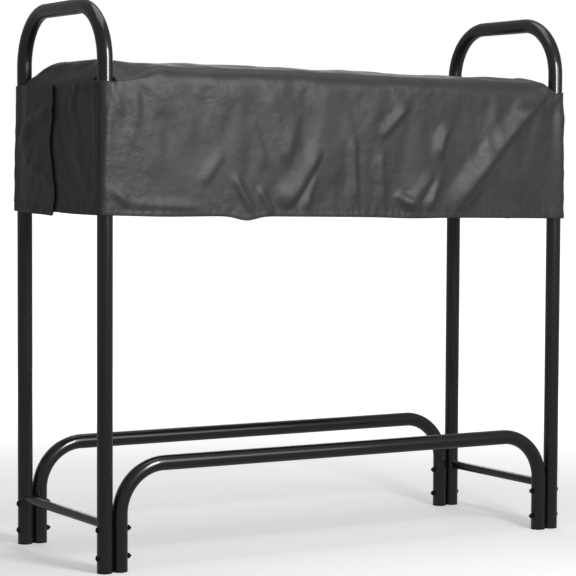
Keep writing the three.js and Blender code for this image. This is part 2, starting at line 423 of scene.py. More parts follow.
@dataclass(frozen=True)
class ClosureTape:
    """Black hook-and-loop tape, its pile as a coarse bump; the hook half stands in rows. Its colour is paler
    where the pile stands up: painted shade in the hollows.
    """

    rows: bool = False

    def material(self) -> bpy.types.Material:
        """Build the material."""
        shader = Shader("hook_tape" if self.rows else "loop_tape")
        across, along = shader.cut()
        fuzz = shader.noise(shader.place(), 1400.0, 5.0, 0.7)
        ranks = abs((across * (math.pi / (1.5 * MM))).sine()) * abs((along * (math.pi / (1.2 * MM))).sine())
        pile = ranks * 0.8 + fuzz * 0.2 if self.rows else fuzz
        return shader.finish(
            # Painted shade: the colour follows the pile's height, darker in its hollows and between the hook
            # rows.
            Base_Color=shader.blend(pile, (0.008, 0.008, 0.008), (0.035, 0.035, 0.036)),
            Roughness=0.82 + fuzz * 0.12,
            Normal=shader.bump(pile, 0.4 * MM),
            Sheen_Weight=0.3,
        )


@dataclass(frozen=True)
class SewingThread:
    """Charcoal polyester sewing thread, a shade lighter than the cloth."""

    colour: Colour = (0.085, 0.086, 0.09)

    def material(self) -> bpy.types.Material:
        """Build the material."""
        shader = Shader("sewing_thread")
        twist = shader.noise(shader.place(), 2500.0, 2.0)
        return shader.finish(
            Base_Color=shader.blend(twist, (0.05, 0.05, 0.052), self.colour),
            Roughness=0.55 + twist * 0.2,
            Sheen_Weight=0.2,
        )


# ---------------------------------------------------------------- surfaces


@dataclass
class Patch:
    """A grid of points that makes one sheet of faces.

    The flat cut is a second grid of (across, along) lengths, one row or column longer where the grid closes.
    """

    points: Array
    close_rows: bool = False
    close_columns: bool = False
    cut: Optional[Array] = None

    def faces(self) -> Array:
        """Corner numbers of each face, in order round it from its lowest point."""
        rows, columns = self.points.shape[:2]
        row = np.arange(rows if self.close_rows else rows - 1)
        column = np.arange(columns if self.close_columns else columns - 1)
        low, left = np.meshgrid(row, column, indexing="ij")
        high = (low + 1) % rows
        right = (left + 1) % columns
        quads = [low * columns + left, low * columns + right, high * columns + right, high * columns + left]
        return np.stack(quads, axis=-1).reshape(-1, 4)

    def face_cut(self) -> Array:
        """The flat cut at each face's corners, in the order of its corner numbers."""
        rows, columns = self.points.shape[:2]
        cut = self.cut
        if cut is None:
            down, across = np.meshgrid(np.arange(rows + 1) * MM, np.arange(columns + 1) * MM, indexing="ij")
            cut = np.stack([across, down], axis=-1)
        row = np.arange(rows if self.close_rows else rows - 1)
        column = np.arange(columns if self.close_columns else columns - 1)
        low, left = np.meshgrid(row, column, indexing="ij")
        parts = [cut[low, left], cut[low, left + 1], cut[low + 1, left + 1], cut[low + 1, left]]
        return np.stack(parts, axis=2).reshape(-1, 2)


def signed_volume(points: Array, faces: Array) -> float:
    """Sum over the faces of the tetrahedra to the origin, positive where faces point outwards."""
    a, b, c, d = (points[faces[:, i]] for i in range(4))
    halves = np.einsum("ij,ij->i", a, np.cross(b, c)) + np.einsum("ij,ij->i", a, np.cross(c, d))
    return float(halves.sum() / 6)


def make_mesh(name: str, points: Array, faces: Array, cut: Array, crease: float, merge: bool) -> bpy.types.Object:
    """Put points and faces into a mesh object.

    Args:
        name: The piece's name.
        points: Places, in the rack's frame.
        faces: Four corner numbers a face.
        cut: Place on the flat cut at each face corner.
        crease: Angle in degrees past which an edge is drawn sharp.
        merge: Merge points that lie together, as at a pole.

    Returns:
        The object, linked to the scene, with its place in its mesh.
    """
    mesh = bpy.data.meshes.new(name)
    mesh.from_pydata(points.tolist(), [], faces.tolist())
    layer = mesh.uv_layers.new(name="Cut")
    layer.data.foreach_set("uv", cut.ravel().astype(np.float32))
    if merge:
        build = bmesh.new()
        build.from_mesh(mesh)
        bmesh.ops.remove_doubles(build, verts=build.verts, dist=2e-6)
        bmesh.ops.dissolve_degenerate(build, edges=build.edges, dist=1e-7)
        build.to_mesh(mesh)
        build.free()
    mesh.shade_smooth()
    mesh.set_sharp_from_angle(angle=math.radians(crease))
    made = bpy.data.objects.new(name, mesh)
    bpy.context.scene.collection.objects.link(made)
    return made


def make_object(name: str, patches: Sequence[Patch], crease: float = 35.0) -> bpy.types.Object:
    """Make one piece from closed patches, each turned outwards by the sign of its volume.

    Args:
        name: The piece's name.
        patches: Its grids, each of which closes on itself.
        crease: Angle in degrees past which an edge is drawn sharp.

    Returns:
        The object, linked to the scene.
    """
    points, faces, cuts, start = [], [], [], 0
    for patch in patches:
        flat = patch.points.reshape(-1, 3)
        quads = patch.faces()
        cut = patch.face_cut().reshape(-1, 4, 2)
        if signed_volume(flat, quads) < 0:
            quads = quads[:, ::-1]
            cut = cut[:, ::-1]
        points.append(flat)
        faces.append(quads + start)
        cuts.append(cut.reshape(-1, 2))
        start += len(flat)
    return make_mesh(name, np.concatenate(points), np.concatenate(faces), np.concatenate(cuts), crease, True)


def turned(profile: Array, sides: int, centre: Sequence[float], axis: Sequence[float],
           flute: Optional[Array] = None) -> Patch:
    """A turned surface: each (radius, height) of the profile is carried once round the axis.

    Args:
        profile: Radius and height pairs, from pole to pole.
        sides: Steps round the axis.
        centre: Where height 0 lies.
        axis: Unit direction of the height.
        flute: Optional factor on the radius for each height and turn.

    Returns:
        The closed patch.
    """
    along = Vector(axis)
    first = along.orthogonal().normalized()
    second = along.cross(first)
    turn = np.arange(sides) * TURN / sides
    ring = np.outer(np.cos(turn), first) + np.outer(np.sin(turn), second)
    radius = np.repeat(profile[:, :1], sides, axis=1)
    if flute is not None:
        radius = radius * flute
    points = np.array(centre) + radius[..., None] * ring[None] + profile[:, 1, None, None] * np.array(along)
    return Patch(points, close_columns=True)


def eased(value: Union[Array, float], low: float, high: float) -> Array:
    """0 below low, 1 above high, and a smooth 3-2-1 rise between them."""
    share = np.clip((np.asarray(value, float) - low) / (high - low), 0.0, 1.0)
    return share * share * (3.0 - 2.0 * share)


@dataclass
class BentPath:
    """A centre line of straight runs joined by quarter-round bends in one plane.

    Stations lie evenly round each bend and at the ends of each straight run.
    """

    corners: Array
    radius: float
    bend_steps: int = 22
    points: Array = field(init=False)
    directions: Array = field(init=False)
    bending: Array = field(init=False)

    def __post_init__(self) -> None:
        """Work out the stations: a bend is its start plus r sin a forwards and r (1 - cos a) inwards."""
        runs = np.diff(self.corners, axis=0)
        units = runs / np.linalg.norm(runs, axis=1, keepdims=True)
        points, directions, bending = [self.corners[:1]], [units[:1]], [np.zeros(1)]
        angle = np.linspace(0.0, math.pi / 2, self.bend_steps + 1)[:, None]
        for corner, into, away in zip(self.corners[1:-1], units[:-1], units[1:]):
            start = corner - into * self.radius
            points.append(start + self.radius * (np.sin(angle) * into + (1 - np.cos(angle)) * away))
            directions.append(np.cos(angle) * into + np.sin(angle) * away)
            bending.append(np.sin(2 * angle[:, 0]) ** 0.5)
        points.append(self.corners[-1:])
        directions.append(units[-1:])
        bending.append(np.zeros(1))
        self.points = np.concatenate(points)
        self.directions = np.concatenate(directions)
        self.bending = np.concatenate(bending)


@dataclass
class RoundTube:
    """A round tube along a bent path: rolled lips at its open ends and a short way of bore inside each."""

    path: BentPath
    radius: float
    wall: float
    sides: int = 48
    lip: float = 0.5 * MM
    bore: float = 26 * MM
    flatten: float = 0.035

    def patch(self) -> Patch:
        """Each station's ring is its centre plus the radius times (cos, sin) along two normals of the path.

        Past each end the ring rounds over the lip, drops to the bore's radius, runs back inside and closes.
        In a bend the ring is a little narrower in the bend's plane, as a bent tube is.

        Returns:
            The closed patch.
        """
        points, directions = self.path.points, self.path.directions
        quarter = np.linspace(0.0, math.pi / 2, 5)[1:]
        lip_radius = np.concatenate([self.radius - self.lip * (1 - np.cos(quarter)),
                                     [self.radius - self.wall] * 2, [0.0]])
        lip_back = np.concatenate([self.lip * (1 - np.sin(quarter)), [self.lip, self.bore, self.bore]])
        head = points[0] + directions[0] * lip_back[::-1, None]
        tail = points[-1] - directions[-1] * lip_back[:, None]
        first = points[:1] + directions[:1] * self.lip
        last = points[-1:] - directions[-1:] * self.lip
        count = len(lip_radius)
        centres = np.concatenate([head, first, points[1:-1], last, tail])
        ahead = np.concatenate([
            np.repeat(directions[:1], count + 1, axis=0), directions[1:-1],
            np.repeat(directions[-1:], count + 1, axis=0),
        ])
        radii = np.concatenate([lip_radius[::-1], np.full(len(points), self.radius), lip_radius])
        bending = np.concatenate([np.zeros(count), self.path.bending, np.zeros(count)])
        runs = np.diff(self.path.corners, axis=0)
        plane = np.cross(runs[0], runs[-1] if len(runs) < 3 else runs[1])
        normal = np.array((1.0, 0.0, 0.0)) if np.linalg.norm(plane) < 1e-9 else plane / np.linalg.norm(plane)
        inward = np.cross(ahead, normal)
        turn = np.arange(self.sides) * TURN / self.sides
        narrow = (1.0 - self.flatten * bending)[:, None, None]
        ring = (np.cos(turn)[None, :, None] * normal
                + np.sin(turn)[None, :, None] * inward[:, None, :] * narrow)
        return Patch(centres[:, None, :] + radii[:, None, None] * ring, close_columns=True)


# ---------------------------------------------------------------- dressing


@dataclass(frozen=True)
class Dress:
    """A finish and the slot that goes with it."""

    material: bpy.types.Material
    slot: str

    def put_on(self, piece: bpy.types.Object, body: Optional[str], *nodes: str) -> bpy.types.Object:
        """Give a piece its finish, its body and the nodes that it stands for.

        Args:
            piece: The finished piece.
            body: The body it rides on, or None to attach it to no body here.
            nodes: The CAD nodes that it replaces.

        Returns:
            The same piece.
        """
        piece.data.materials.clear()
        piece.data.materials.append(self.material)
        if body is not None:
            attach(piece, body)
        if nodes:
            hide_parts(*nodes)
        LOG.info("%s: %d faces, on %s", piece.name, len(piece.data.polygons), body or "a hinge")
        return piece


# ---------------------------------------------------------------- steel frame


@dataclass
class SteelFrame:
    """The welded and bolted frame: hoops, rails, crossbars, plugs and fasteners."""

    sizes: FrameSizes
    coat: Dress
    zinc: Dress
    plastic: Dress
    hoop_bend: float = 115 * MM
    rail_bend: float = 100 * MM
    wall: float = 1.5 * MM
    body: str = "frame"

    def build(self) -> None:
        """Build every piece of the frame."""
        for end in End:
            self.hoop(end)
            self.crossbar(end)
            self.weld_beads(end)
        for side in Side:
            self.rail(side)
        for end in End:
            for side in Side:
                self.plugs(end, side)
                for level in Level:
                    self.bolt(end, side, level)
                    self.nut(end, side, level)

    def hoop(self, end: End) -> None:
        """A hoop: up one upright, over the handle top and down the other."""
        sizes = self.sizes
        x = end.value * sizes.upright_x
        path = BentPath(np.array([
            (x, -sizes.upright_y, sizes.foot), (x, -sizes.upright_y, sizes.top),
            (x, sizes.upright_y, sizes.top), (x, sizes.upright_y, sizes.foot),
        ]), self.hoop_bend)
        self.tube(f"{name_of(end)}_hoop_tube", path, f"{name_of(end)}_end_hoop")

    def rail(self, side: Side) -> None:
        """A base rail: up one leg, along the rack and down the other."""
        sizes = self.sizes
        y = side.value * sizes.upright_y
        path = BentPath(np.array([
            (-sizes.leg_x, y, sizes.foot), (-sizes.leg_x, y, sizes.rail_z),
            (sizes.leg_x, y, sizes.rail_z), (sizes.leg_x, y, sizes.foot),
        ]), self.rail_bend)
        self.tube(f"{name_of(side)}_rail_tube", path, f"{name_of(side)}_base_rail")

    def tube(self, name: str, path: BentPath, node: str) -> None:
        """Make and dress one 32 mm tube."""
        piece = make_object(name, [RoundTube(path, self.sizes.tube, self.wall).patch()])
        self.coat.put_on(piece, self.body, node)

    def crossbar(self, end: End) -> None:
        """A crossbar, each end coped to its upright: y there is the upright's y less sqrt(R2 - dx2)."""
        sizes = self.sizes
        sides = 40
        turn = np.arange(sides) * TURN / sides
        dx, dz = sizes.bar * np.cos(turn), sizes.bar * np.sin(turn)
        reach = sizes.upright_y - np.sqrt(sizes.tube ** 2 - dx ** 2)
        share = np.concatenate([[-1.0], np.linspace(-1.0, 1.0, 25), [1.0]])
        swell = np.ones(len(share))
        swell[[0, -1]] = 0.0
        x = end.value * sizes.upright_x + swell[:, None] * dx
        y = share[:, None] * reach
        z = sizes.bar_z + swell[:, None] * dz
        patch = Patch(np.stack([x, y, z], axis=-1), close_columns=True)
        piece = make_object(f"{name_of(end)}_crossbar_tube", [patch])
        self.coat.put_on(piece, self.body, f"{name_of(end)}_crossbar")

    def weld_beads(self, end: End) -> None:
        """A rippled weld bead round each end of a crossbar, along the line where it meets the upright."""
        sizes = self.sizes
        steps, sides, ripples = 168, 10, 28
        turn = np.arange(steps) * TURN / steps
        across = np.arange(sides) * TURN / sides
        thick = (1.7 + 0.28 * np.abs(np.sin(turn * ripples / 2)) + 0.2 * np.sin(3 * turn + 1.0)) * MM
        around = np.stack([np.cos(turn), np.zeros(steps), np.sin(turn)], axis=-1)
        beads = []
        for side in Side:
            reach = sizes.upright_y - np.sqrt(sizes.tube ** 2 - (sizes.bar * np.cos(turn)) ** 2)
            line = around * (sizes.bar + 0.2 * MM)
            line[:, 0] += end.value * sizes.upright_x
            line[:, 1] = side.value * (reach - 0.4 * MM)
            line[:, 2] += sizes.bar_z
            inward = np.array((0.0, -float(side.value), 0.0))
            ring = np.cos(across)[None, :, None] * around[:, None, :] + np.sin(across)[None, :, None] * inward
            beads.append(Patch(line[:, None, :] + thick[:, None, None] * ring,
                               close_rows=True, close_columns=True))
        self.coat.put_on(make_object(f"{name_of(end)}_crossbar_welds", beads), self.body)

    def plugs(self, end: End, side: Side) -> None:
        """The two end plugs of a leg pair: a head with a rounded edge and a ribbed stem inside the tube."""
        sizes = self.sizes
        arc = np.linspace(-math.pi / 2, 0.0, 7)
        edge = 1.6 * MM
        rim = np.stack([sizes.tube - edge + edge * np.cos(arc), edge + edge * np.sin(arc)], axis=-1)
        stem = np.array([(13.7, 3.0), (13.7, 5.0), (13.2, 5.6), (13.7, 6.4), (13.7, 9.0),
                         (13.2, 9.6), (13.7, 10.4),
                         (13.7, 16.4), (12.6, 18.0), (0.0, 18.0)]) * MM
        dish = np.array([(0.0, 0.5), (9.5, 0.5), (10.3, 0.0)]) * MM
        shoulder = np.array([(sizes.tube, 2.6 * MM), (sizes.tube - 0.4 * MM, 3.0 * MM)])
        profile = np.concatenate([dish, rim, shoulder, stem])
        for kind, x in (("upright", sizes.upright_x), ("leg", sizes.leg_x)):
            label = f"{name_of(end)}_{name_of(side)}_{kind}_plug"
            centre = (end.value * x, side.value * sizes.upright_y, 0.0)
            piece = make_object(f"{label}_moulding", [turned(profile, 48, centre, (0.0, 0.0, 1.0))])
            self.plastic.put_on(piece, self.body, label)

    def bolt(self, end: End, side: Side, level: Level) -> None:
        """A round-headed bolt: a low dome, a plain shank and a thread whose radius is a wave along a helix."""
        node = f"{name_of(end)}_{name_of(side)}_{level.value}_bolt"
        low, high = corners(node)
        seat = (self.sizes.upright_x + self.sizes.tube + 0.3 * MM) * end.value
        centre = (seat, (low[1] + high[1]) / 2, (low[2] + high[2]) / 2)
        length = abs(seat - (high[0] if end is End.LEFT else low[0]))
        radius, height, pitch = 6.2 * MM, 3.9 * MM, 1.0 * MM
        dome = np.linspace(math.pi / 2, 0.06, 12)
        head = np.stack([radius * np.cos(dome), -height * np.sin(dome)], axis=-1)
        head[0, 0] = 0.0
        under = np.array([(radius - 0.25 * MM, 0.0), (3.1 * MM, 0.0), (3.0 * MM, 0.4 * MM)])
        thread_start = length - 24 * MM
        thread = np.linspace(thread_start, length - 0.9 * MM, 150)
        shank = np.stack([np.full(150, 3.0 * MM), thread], axis=-1)
        tip = np.array([(2.2 * MM, length), (0.0, length)])
        profile = np.concatenate([head, under, shank, tip])
        sides = 28
        turn = np.arange(sides) / sides
        wave = np.abs(((profile[:, 1, None] / pitch + turn[None]) % 1.0) * 2.0 - 1.0)
        cut = eased(profile[:, 1], thread_start, thread_start + 2 * pitch)
        cut[-2:] = 0.0
        flute = 1.0 - 0.17 * wave * cut[:, None]
        axis = (-float(end.value), 0.0, 0.0)
        piece = make_object(f"{node}_steel", [turned(profile, sides, centre, axis, flute)], crease=50.0)
        self.zinc.put_on(piece, self.body, node)

    def nut(self, end: End, side: Side, level: Level) -> None:
        """A hexagon nut: radius is the flats' distance over cos of the turn from a flat, cut by two cones."""
        node = f"{name_of(end)}_{name_of(side)}_{level.value}_nut"
        low, high = corners(node)
        thick = high[0] - low[0]
        centre = ((low + high) / 2) - np.array((thick / 2, 0.0, 0.0))
        flats, bore = 5.0 * MM, 3.1 * MM
        sides = 72
        turn = np.arange(sides) * TURN / sides
        sector = TURN / 6
        hexagon = flats / np.cos((turn + sector / 2) % sector - sector / 2)
        z = np.concatenate([np.linspace(0.0, 0.9, 7), np.linspace(1.4, thick / MM - 1.4, 4),
                            np.linspace(thick / MM - 0.9, thick / MM, 7)]) * MM
        cone = 5.05 * MM + np.minimum(z, thick - z) * 1.75
        outer = np.minimum(hexagon[None], cone[:, None])
        ring = np.concatenate([np.full((1, sides), bore), outer, np.full((1, sides), bore)])
        level_z = np.concatenate([[0.0], z, [thick]])
        y, zz = ring * np.cos(turn), ring * np.sin(turn)
        x = np.repeat(level_z[:, None], sides, axis=1)
        patch = Patch(np.stack([x, y, zz], axis=-1) + centre, close_rows=True, close_columns=True)
        self.zinc.put_on(make_object(f"{node}_steel", [patch], crease=25.0), self.body, node)


# ---------------------------------------------------------------- cloth


@dataclass
class Cloth:
    """Cloth as a net of points, each with its row and column on the flat cut."""

    points: Array
    rows: Array
    columns: Array
    faces: Array

    def part(self, keep: Array) -> "Cloth":
        """The cloth made of the faces that are kept, with their points numbered again."""
        faces = self.faces[keep]
        used, back = np.unique(faces, return_inverse=True)
        return Cloth(self.points[used], self.rows[used], self.columns[used], back.reshape(faces.shape))

    def middle(self) -> tuple[Array, Array]:
        """Row and column of each face's middle."""
        return self.rows[self.faces].mean(axis=1), self.columns[self.faces].mean(axis=1)

    def normals(self) -> Array:
        """Unit normal at each point: the sum of the cross products of its faces' diagonals."""
        a, b, c, d = (self.points[self.faces[:, i]] for i in range(4))
        cross = np.cross(c - a, d - b)
        total = np.zeros_like(self.points)
        for i in range(4):
            np.add.at(total, self.faces[:, i], cross)
        return total / np.maximum(np.linalg.norm(total, axis=1, keepdims=True), 1e-12)

    def grid(self, rows: tuple[float, float], columns: tuple[float, float]) -> tuple[Array, Array]:
        """A full rectangle of the net.

        Args:
            rows: Its first and last row.
            columns: Its first and last column.

        Returns:
            Points and normals, in grids with a row for each half row of the net.
        """
        inside = (self.rows >= rows[0] - 0.01) & (self.rows <= rows[1] + 0.01)
        inside &= (self.columns >= columns[0] - 0.01) & (self.columns <= columns[1] + 0.01)
        found = np.flatnonzero(inside)
        row, column = np.round(self.rows[found] * 2), np.round(self.columns[found] * 2)
        found = found[np.lexsort((column, row))]
        shape = (len(np.unique(row)), len(np.unique(column)), 3)
        return self.points[found].reshape(shape), self.normals()[found].reshape(shape)


def even_steps(points: Array, step: float) -> tuple[Array, Array]:
    """Stations at even steps along a line of points.

    Args:
        points: The line.
        step: About how far apart the stations lie.

    Returns:
        Fractional index of each station on the line, and its length from the start.
    """
    lengths = np.concatenate([[0.0], np.cumsum(np.linalg.norm(np.diff(points, axis=0), axis=1))])
    count = max(2, int(round(lengths[-1] / step)) + 1)
    along = np.linspace(0.0, lengths[-1], count)
    return np.interp(along, lengths, np.arange(len(points))), along


def at_index(values: Array, index: Array) -> Array:
    """Values of an array of rows at fractional row numbers, by the cubic through the four nearest rows."""
    last = len(values) - 1
    low = np.clip(np.floor(index).astype(int), 0, last - 1)
    share = (index - low)[:, None]
    p0, p1 = values[np.maximum(low - 1, 0)], values[low]
    p2, p3 = values[low + 1], values[np.minimum(low + 2, last)]
    return p1 + 0.5 * share * (
        p2 - p0 + share * (2 * p0 - 5 * p1 + 4 * p2 - p3 + share * (3 * (p1 - p2) + p3 - p0)))


@dataclass(frozen=True)
class Fold:
    """A fold in a panel: a ridge along a line, with a flank on each side, each eased down over its own width.

    Places are (along the panel, height), in metres. The first flank lies to the left of the line's direction.
    """

    start: tuple[float, float]
    end: tuple[float, float]
    height: float
    left_flank: float
    right_flank: float
    bow: float = 0.0

    def rise(self, across: Array, up: Array) -> Array:
        """How far the fold stands out: its height, times how near the point is to the line on its flank.

        Args:
            across: Place along the panel.
            up: Height.

        Returns:
            Outward rise at each point.
        """
        start, end = np.array(self.start), np.array(self.end)
        length = float(np.linalg.norm(end - start))
        run = (end - start) / length
        share = ((across - start[0]) * run[0] + (up - start[1]) * run[1]) / length
        beside = (up - start[1]) * run[0] - (across - start[0]) * run[1]
        beside = beside - self.bow * 4.0 * share * (1.0 - share)
        left = 1.0 - eased(beside, 0.0, self.left_flank)
        right = 1.0 - eased(-beside, 0.0, self.right_flank)
        ends = eased(share, -0.12, 0.22) * (1.0 - eased(share, 0.78, 1.12))
        return self.height * np.where(beside > 0, left, right) * ends


def ripple(across: Array, up: Array, seed: int, pitch: float, count: int = 14) -> Array:
    """A sum of plane waves of random direction and phase and about one pitch, from about -1 to 1."""
    draw = np.random.default_rng(seed)
    total = np.zeros(np.broadcast(across, up).shape)
    for _ in range(count):
        angle, phase, stretch = draw.uniform(0.0, TURN), draw.uniform(0.0, TURN), draw.uniform(0.7, 1.5)
        wave = TURN / (pitch * stretch)
        total += np.sin(wave * (math.cos(angle) * across + math.sin(angle) * up) + phase)
    return total / math.sqrt(count)


@dataclass
class Layout:
    """Rows and columns of the cover's cut, laid on the frame.

    Columns run along the front, from the left flap's free edge to the right one's. Rows run up the front,
    over the top and down the rear. The side columns are the flaps on front and rear rows, and on the top's
    rows they are the tongues that pass between the uprights.
    """

    upright_x: float
    upright_y: float
    wrap: float
    reach: float
    main_x: float
    front_flap: float
    rear_flap: float
    hem_rows: int = 26
    bend_rows: int = 4
    main_columns: int = 110
    wrap_columns: int = 6
    flap_columns: int = 25
    rear_flap_columns: int = 20
    tongue_columns: int = 7

    @property
    def side_columns(self) -> int:
        """Columns beyond the main ones at each end."""
        return self.wrap_columns + self.flap_columns

    @property
    def column_count(self) -> int:
        """All columns."""
        return self.main_columns + 2 * self.side_columns

    @property
    def arc(self) -> float:
        """Length of cloth round an upright's quarter."""
        return self.wrap * math.pi / 2

    def stations(self, side: Side) -> Array:
        """Length along the cloth from its middle to each column, negative to the left."""
        flap, steps = (
            (self.front_flap, self.flap_columns) if side is Side.FRONT
            else (self.rear_flap, self.rear_flap_columns)
        )
        flat = np.array([0.5, 1.0]) * (self.upright_x - self.main_x) + self.main_x
        bend = self.upright_x + self.arc * np.arange(1, 5) / 4
        end = self.upright_x + self.arc + flap / steps * np.arange(1, self.flap_columns + 1)
        beyond = np.concatenate([flat, bend, end])
        main = np.linspace(-self.main_x, self.main_x, self.main_columns)
        return np.concatenate([-beyond[::-1], main, beyond])

    def plan(self, along: Array, side: Side) -> tuple[Array, Array]:
        """Place and outward direction in plan at a length along a strip.

        It is straight along the long side, turns a quarter round the upright's axis, and runs straight on
        along the end.

        Args:
            along: Length from the strip's middle.
            side: The front or the rear strip.

        Returns:
            (x, y) places and (x, y) outward directions.
        """
        past = np.abs(along) - self.upright_x
        turn = np.clip(past / self.wrap, 0.0, math.pi / 2)
        way = np.sign(along)
        x = np.where(past < 0, along, way * (self.upright_x + self.wrap * np.sin(turn)))
        y = self.upright_y + self.wrap * np.cos(turn) - np.maximum(past - self.arc, 0.0)
        place = np.stack([x, side.value * y], axis=-1)
        outward = np.stack([way * np.sin(turn), side.value * np.cos(turn)], axis=-1)
        return place, outward

    def cross_rows(self, front: Array, rear: Array) -> Array:
        """Places of the top's rows across the rack: even over the tongues' width, then two steps to each bend.

        Args:
            front: Distance from the middle to the front bend, in each column.
            rear: The same for the rear bend.

        Returns:
            Places with a row for each row of the top.
        """
        half = self.tongue_half
        inner = np.linspace(-half, half, 31)[:, None] + 0.0 * front
        steps = np.array([[0.5], [1.0]])
        before = -(half + steps[::-1] * (front - half))
        after = half + steps * (rear - half)
        return np.concatenate([before, inner, after])

    @property
    def top_rows(self) -> int:
        """Number of rows between the two bends."""
        return 35

    @property
    def tongue_half(self) -> float:
        """Half the width of a tongue."""
        return self.upright_y - 27 * MM

    def kept_cells(self) -> Array:
        """Which cells of the whole net are cloth: not those round the uprights, nor past a free edge."""
        rows = 2 * (self.hem_rows + self.bend_rows) + self.top_rows
        keep = np.ones((rows - 1, self.column_count - 1), bool)
        row = np.arange(rows - 1)[:, None]
        column = np.arange(self.column_count - 1)[None, :]
        beyond = np.maximum(self.side_columns - 1 - column,
                            column - (self.side_columns + self.main_columns - 1))
        side = beyond >= 0
        first_tongue = self.hem_rows + self.bend_rows + 2
        last_tongue = rows - 1 - first_tongue
        front = row < self.hem_rows - 1
        rear = row > rows - 1 - self.hem_rows
        tongue = (row >= first_tongue) & (row < last_tongue)
        keep &= ~(side & ~front & ~rear & ~tongue)
        keep &= ~(side & tongue & (beyond >= self.tongue_columns))
        keep &= ~(side & rear & (beyond >= self.wrap_columns + self.rear_flap_columns))
        return keep


# ---------------------------------------------------------------- cover


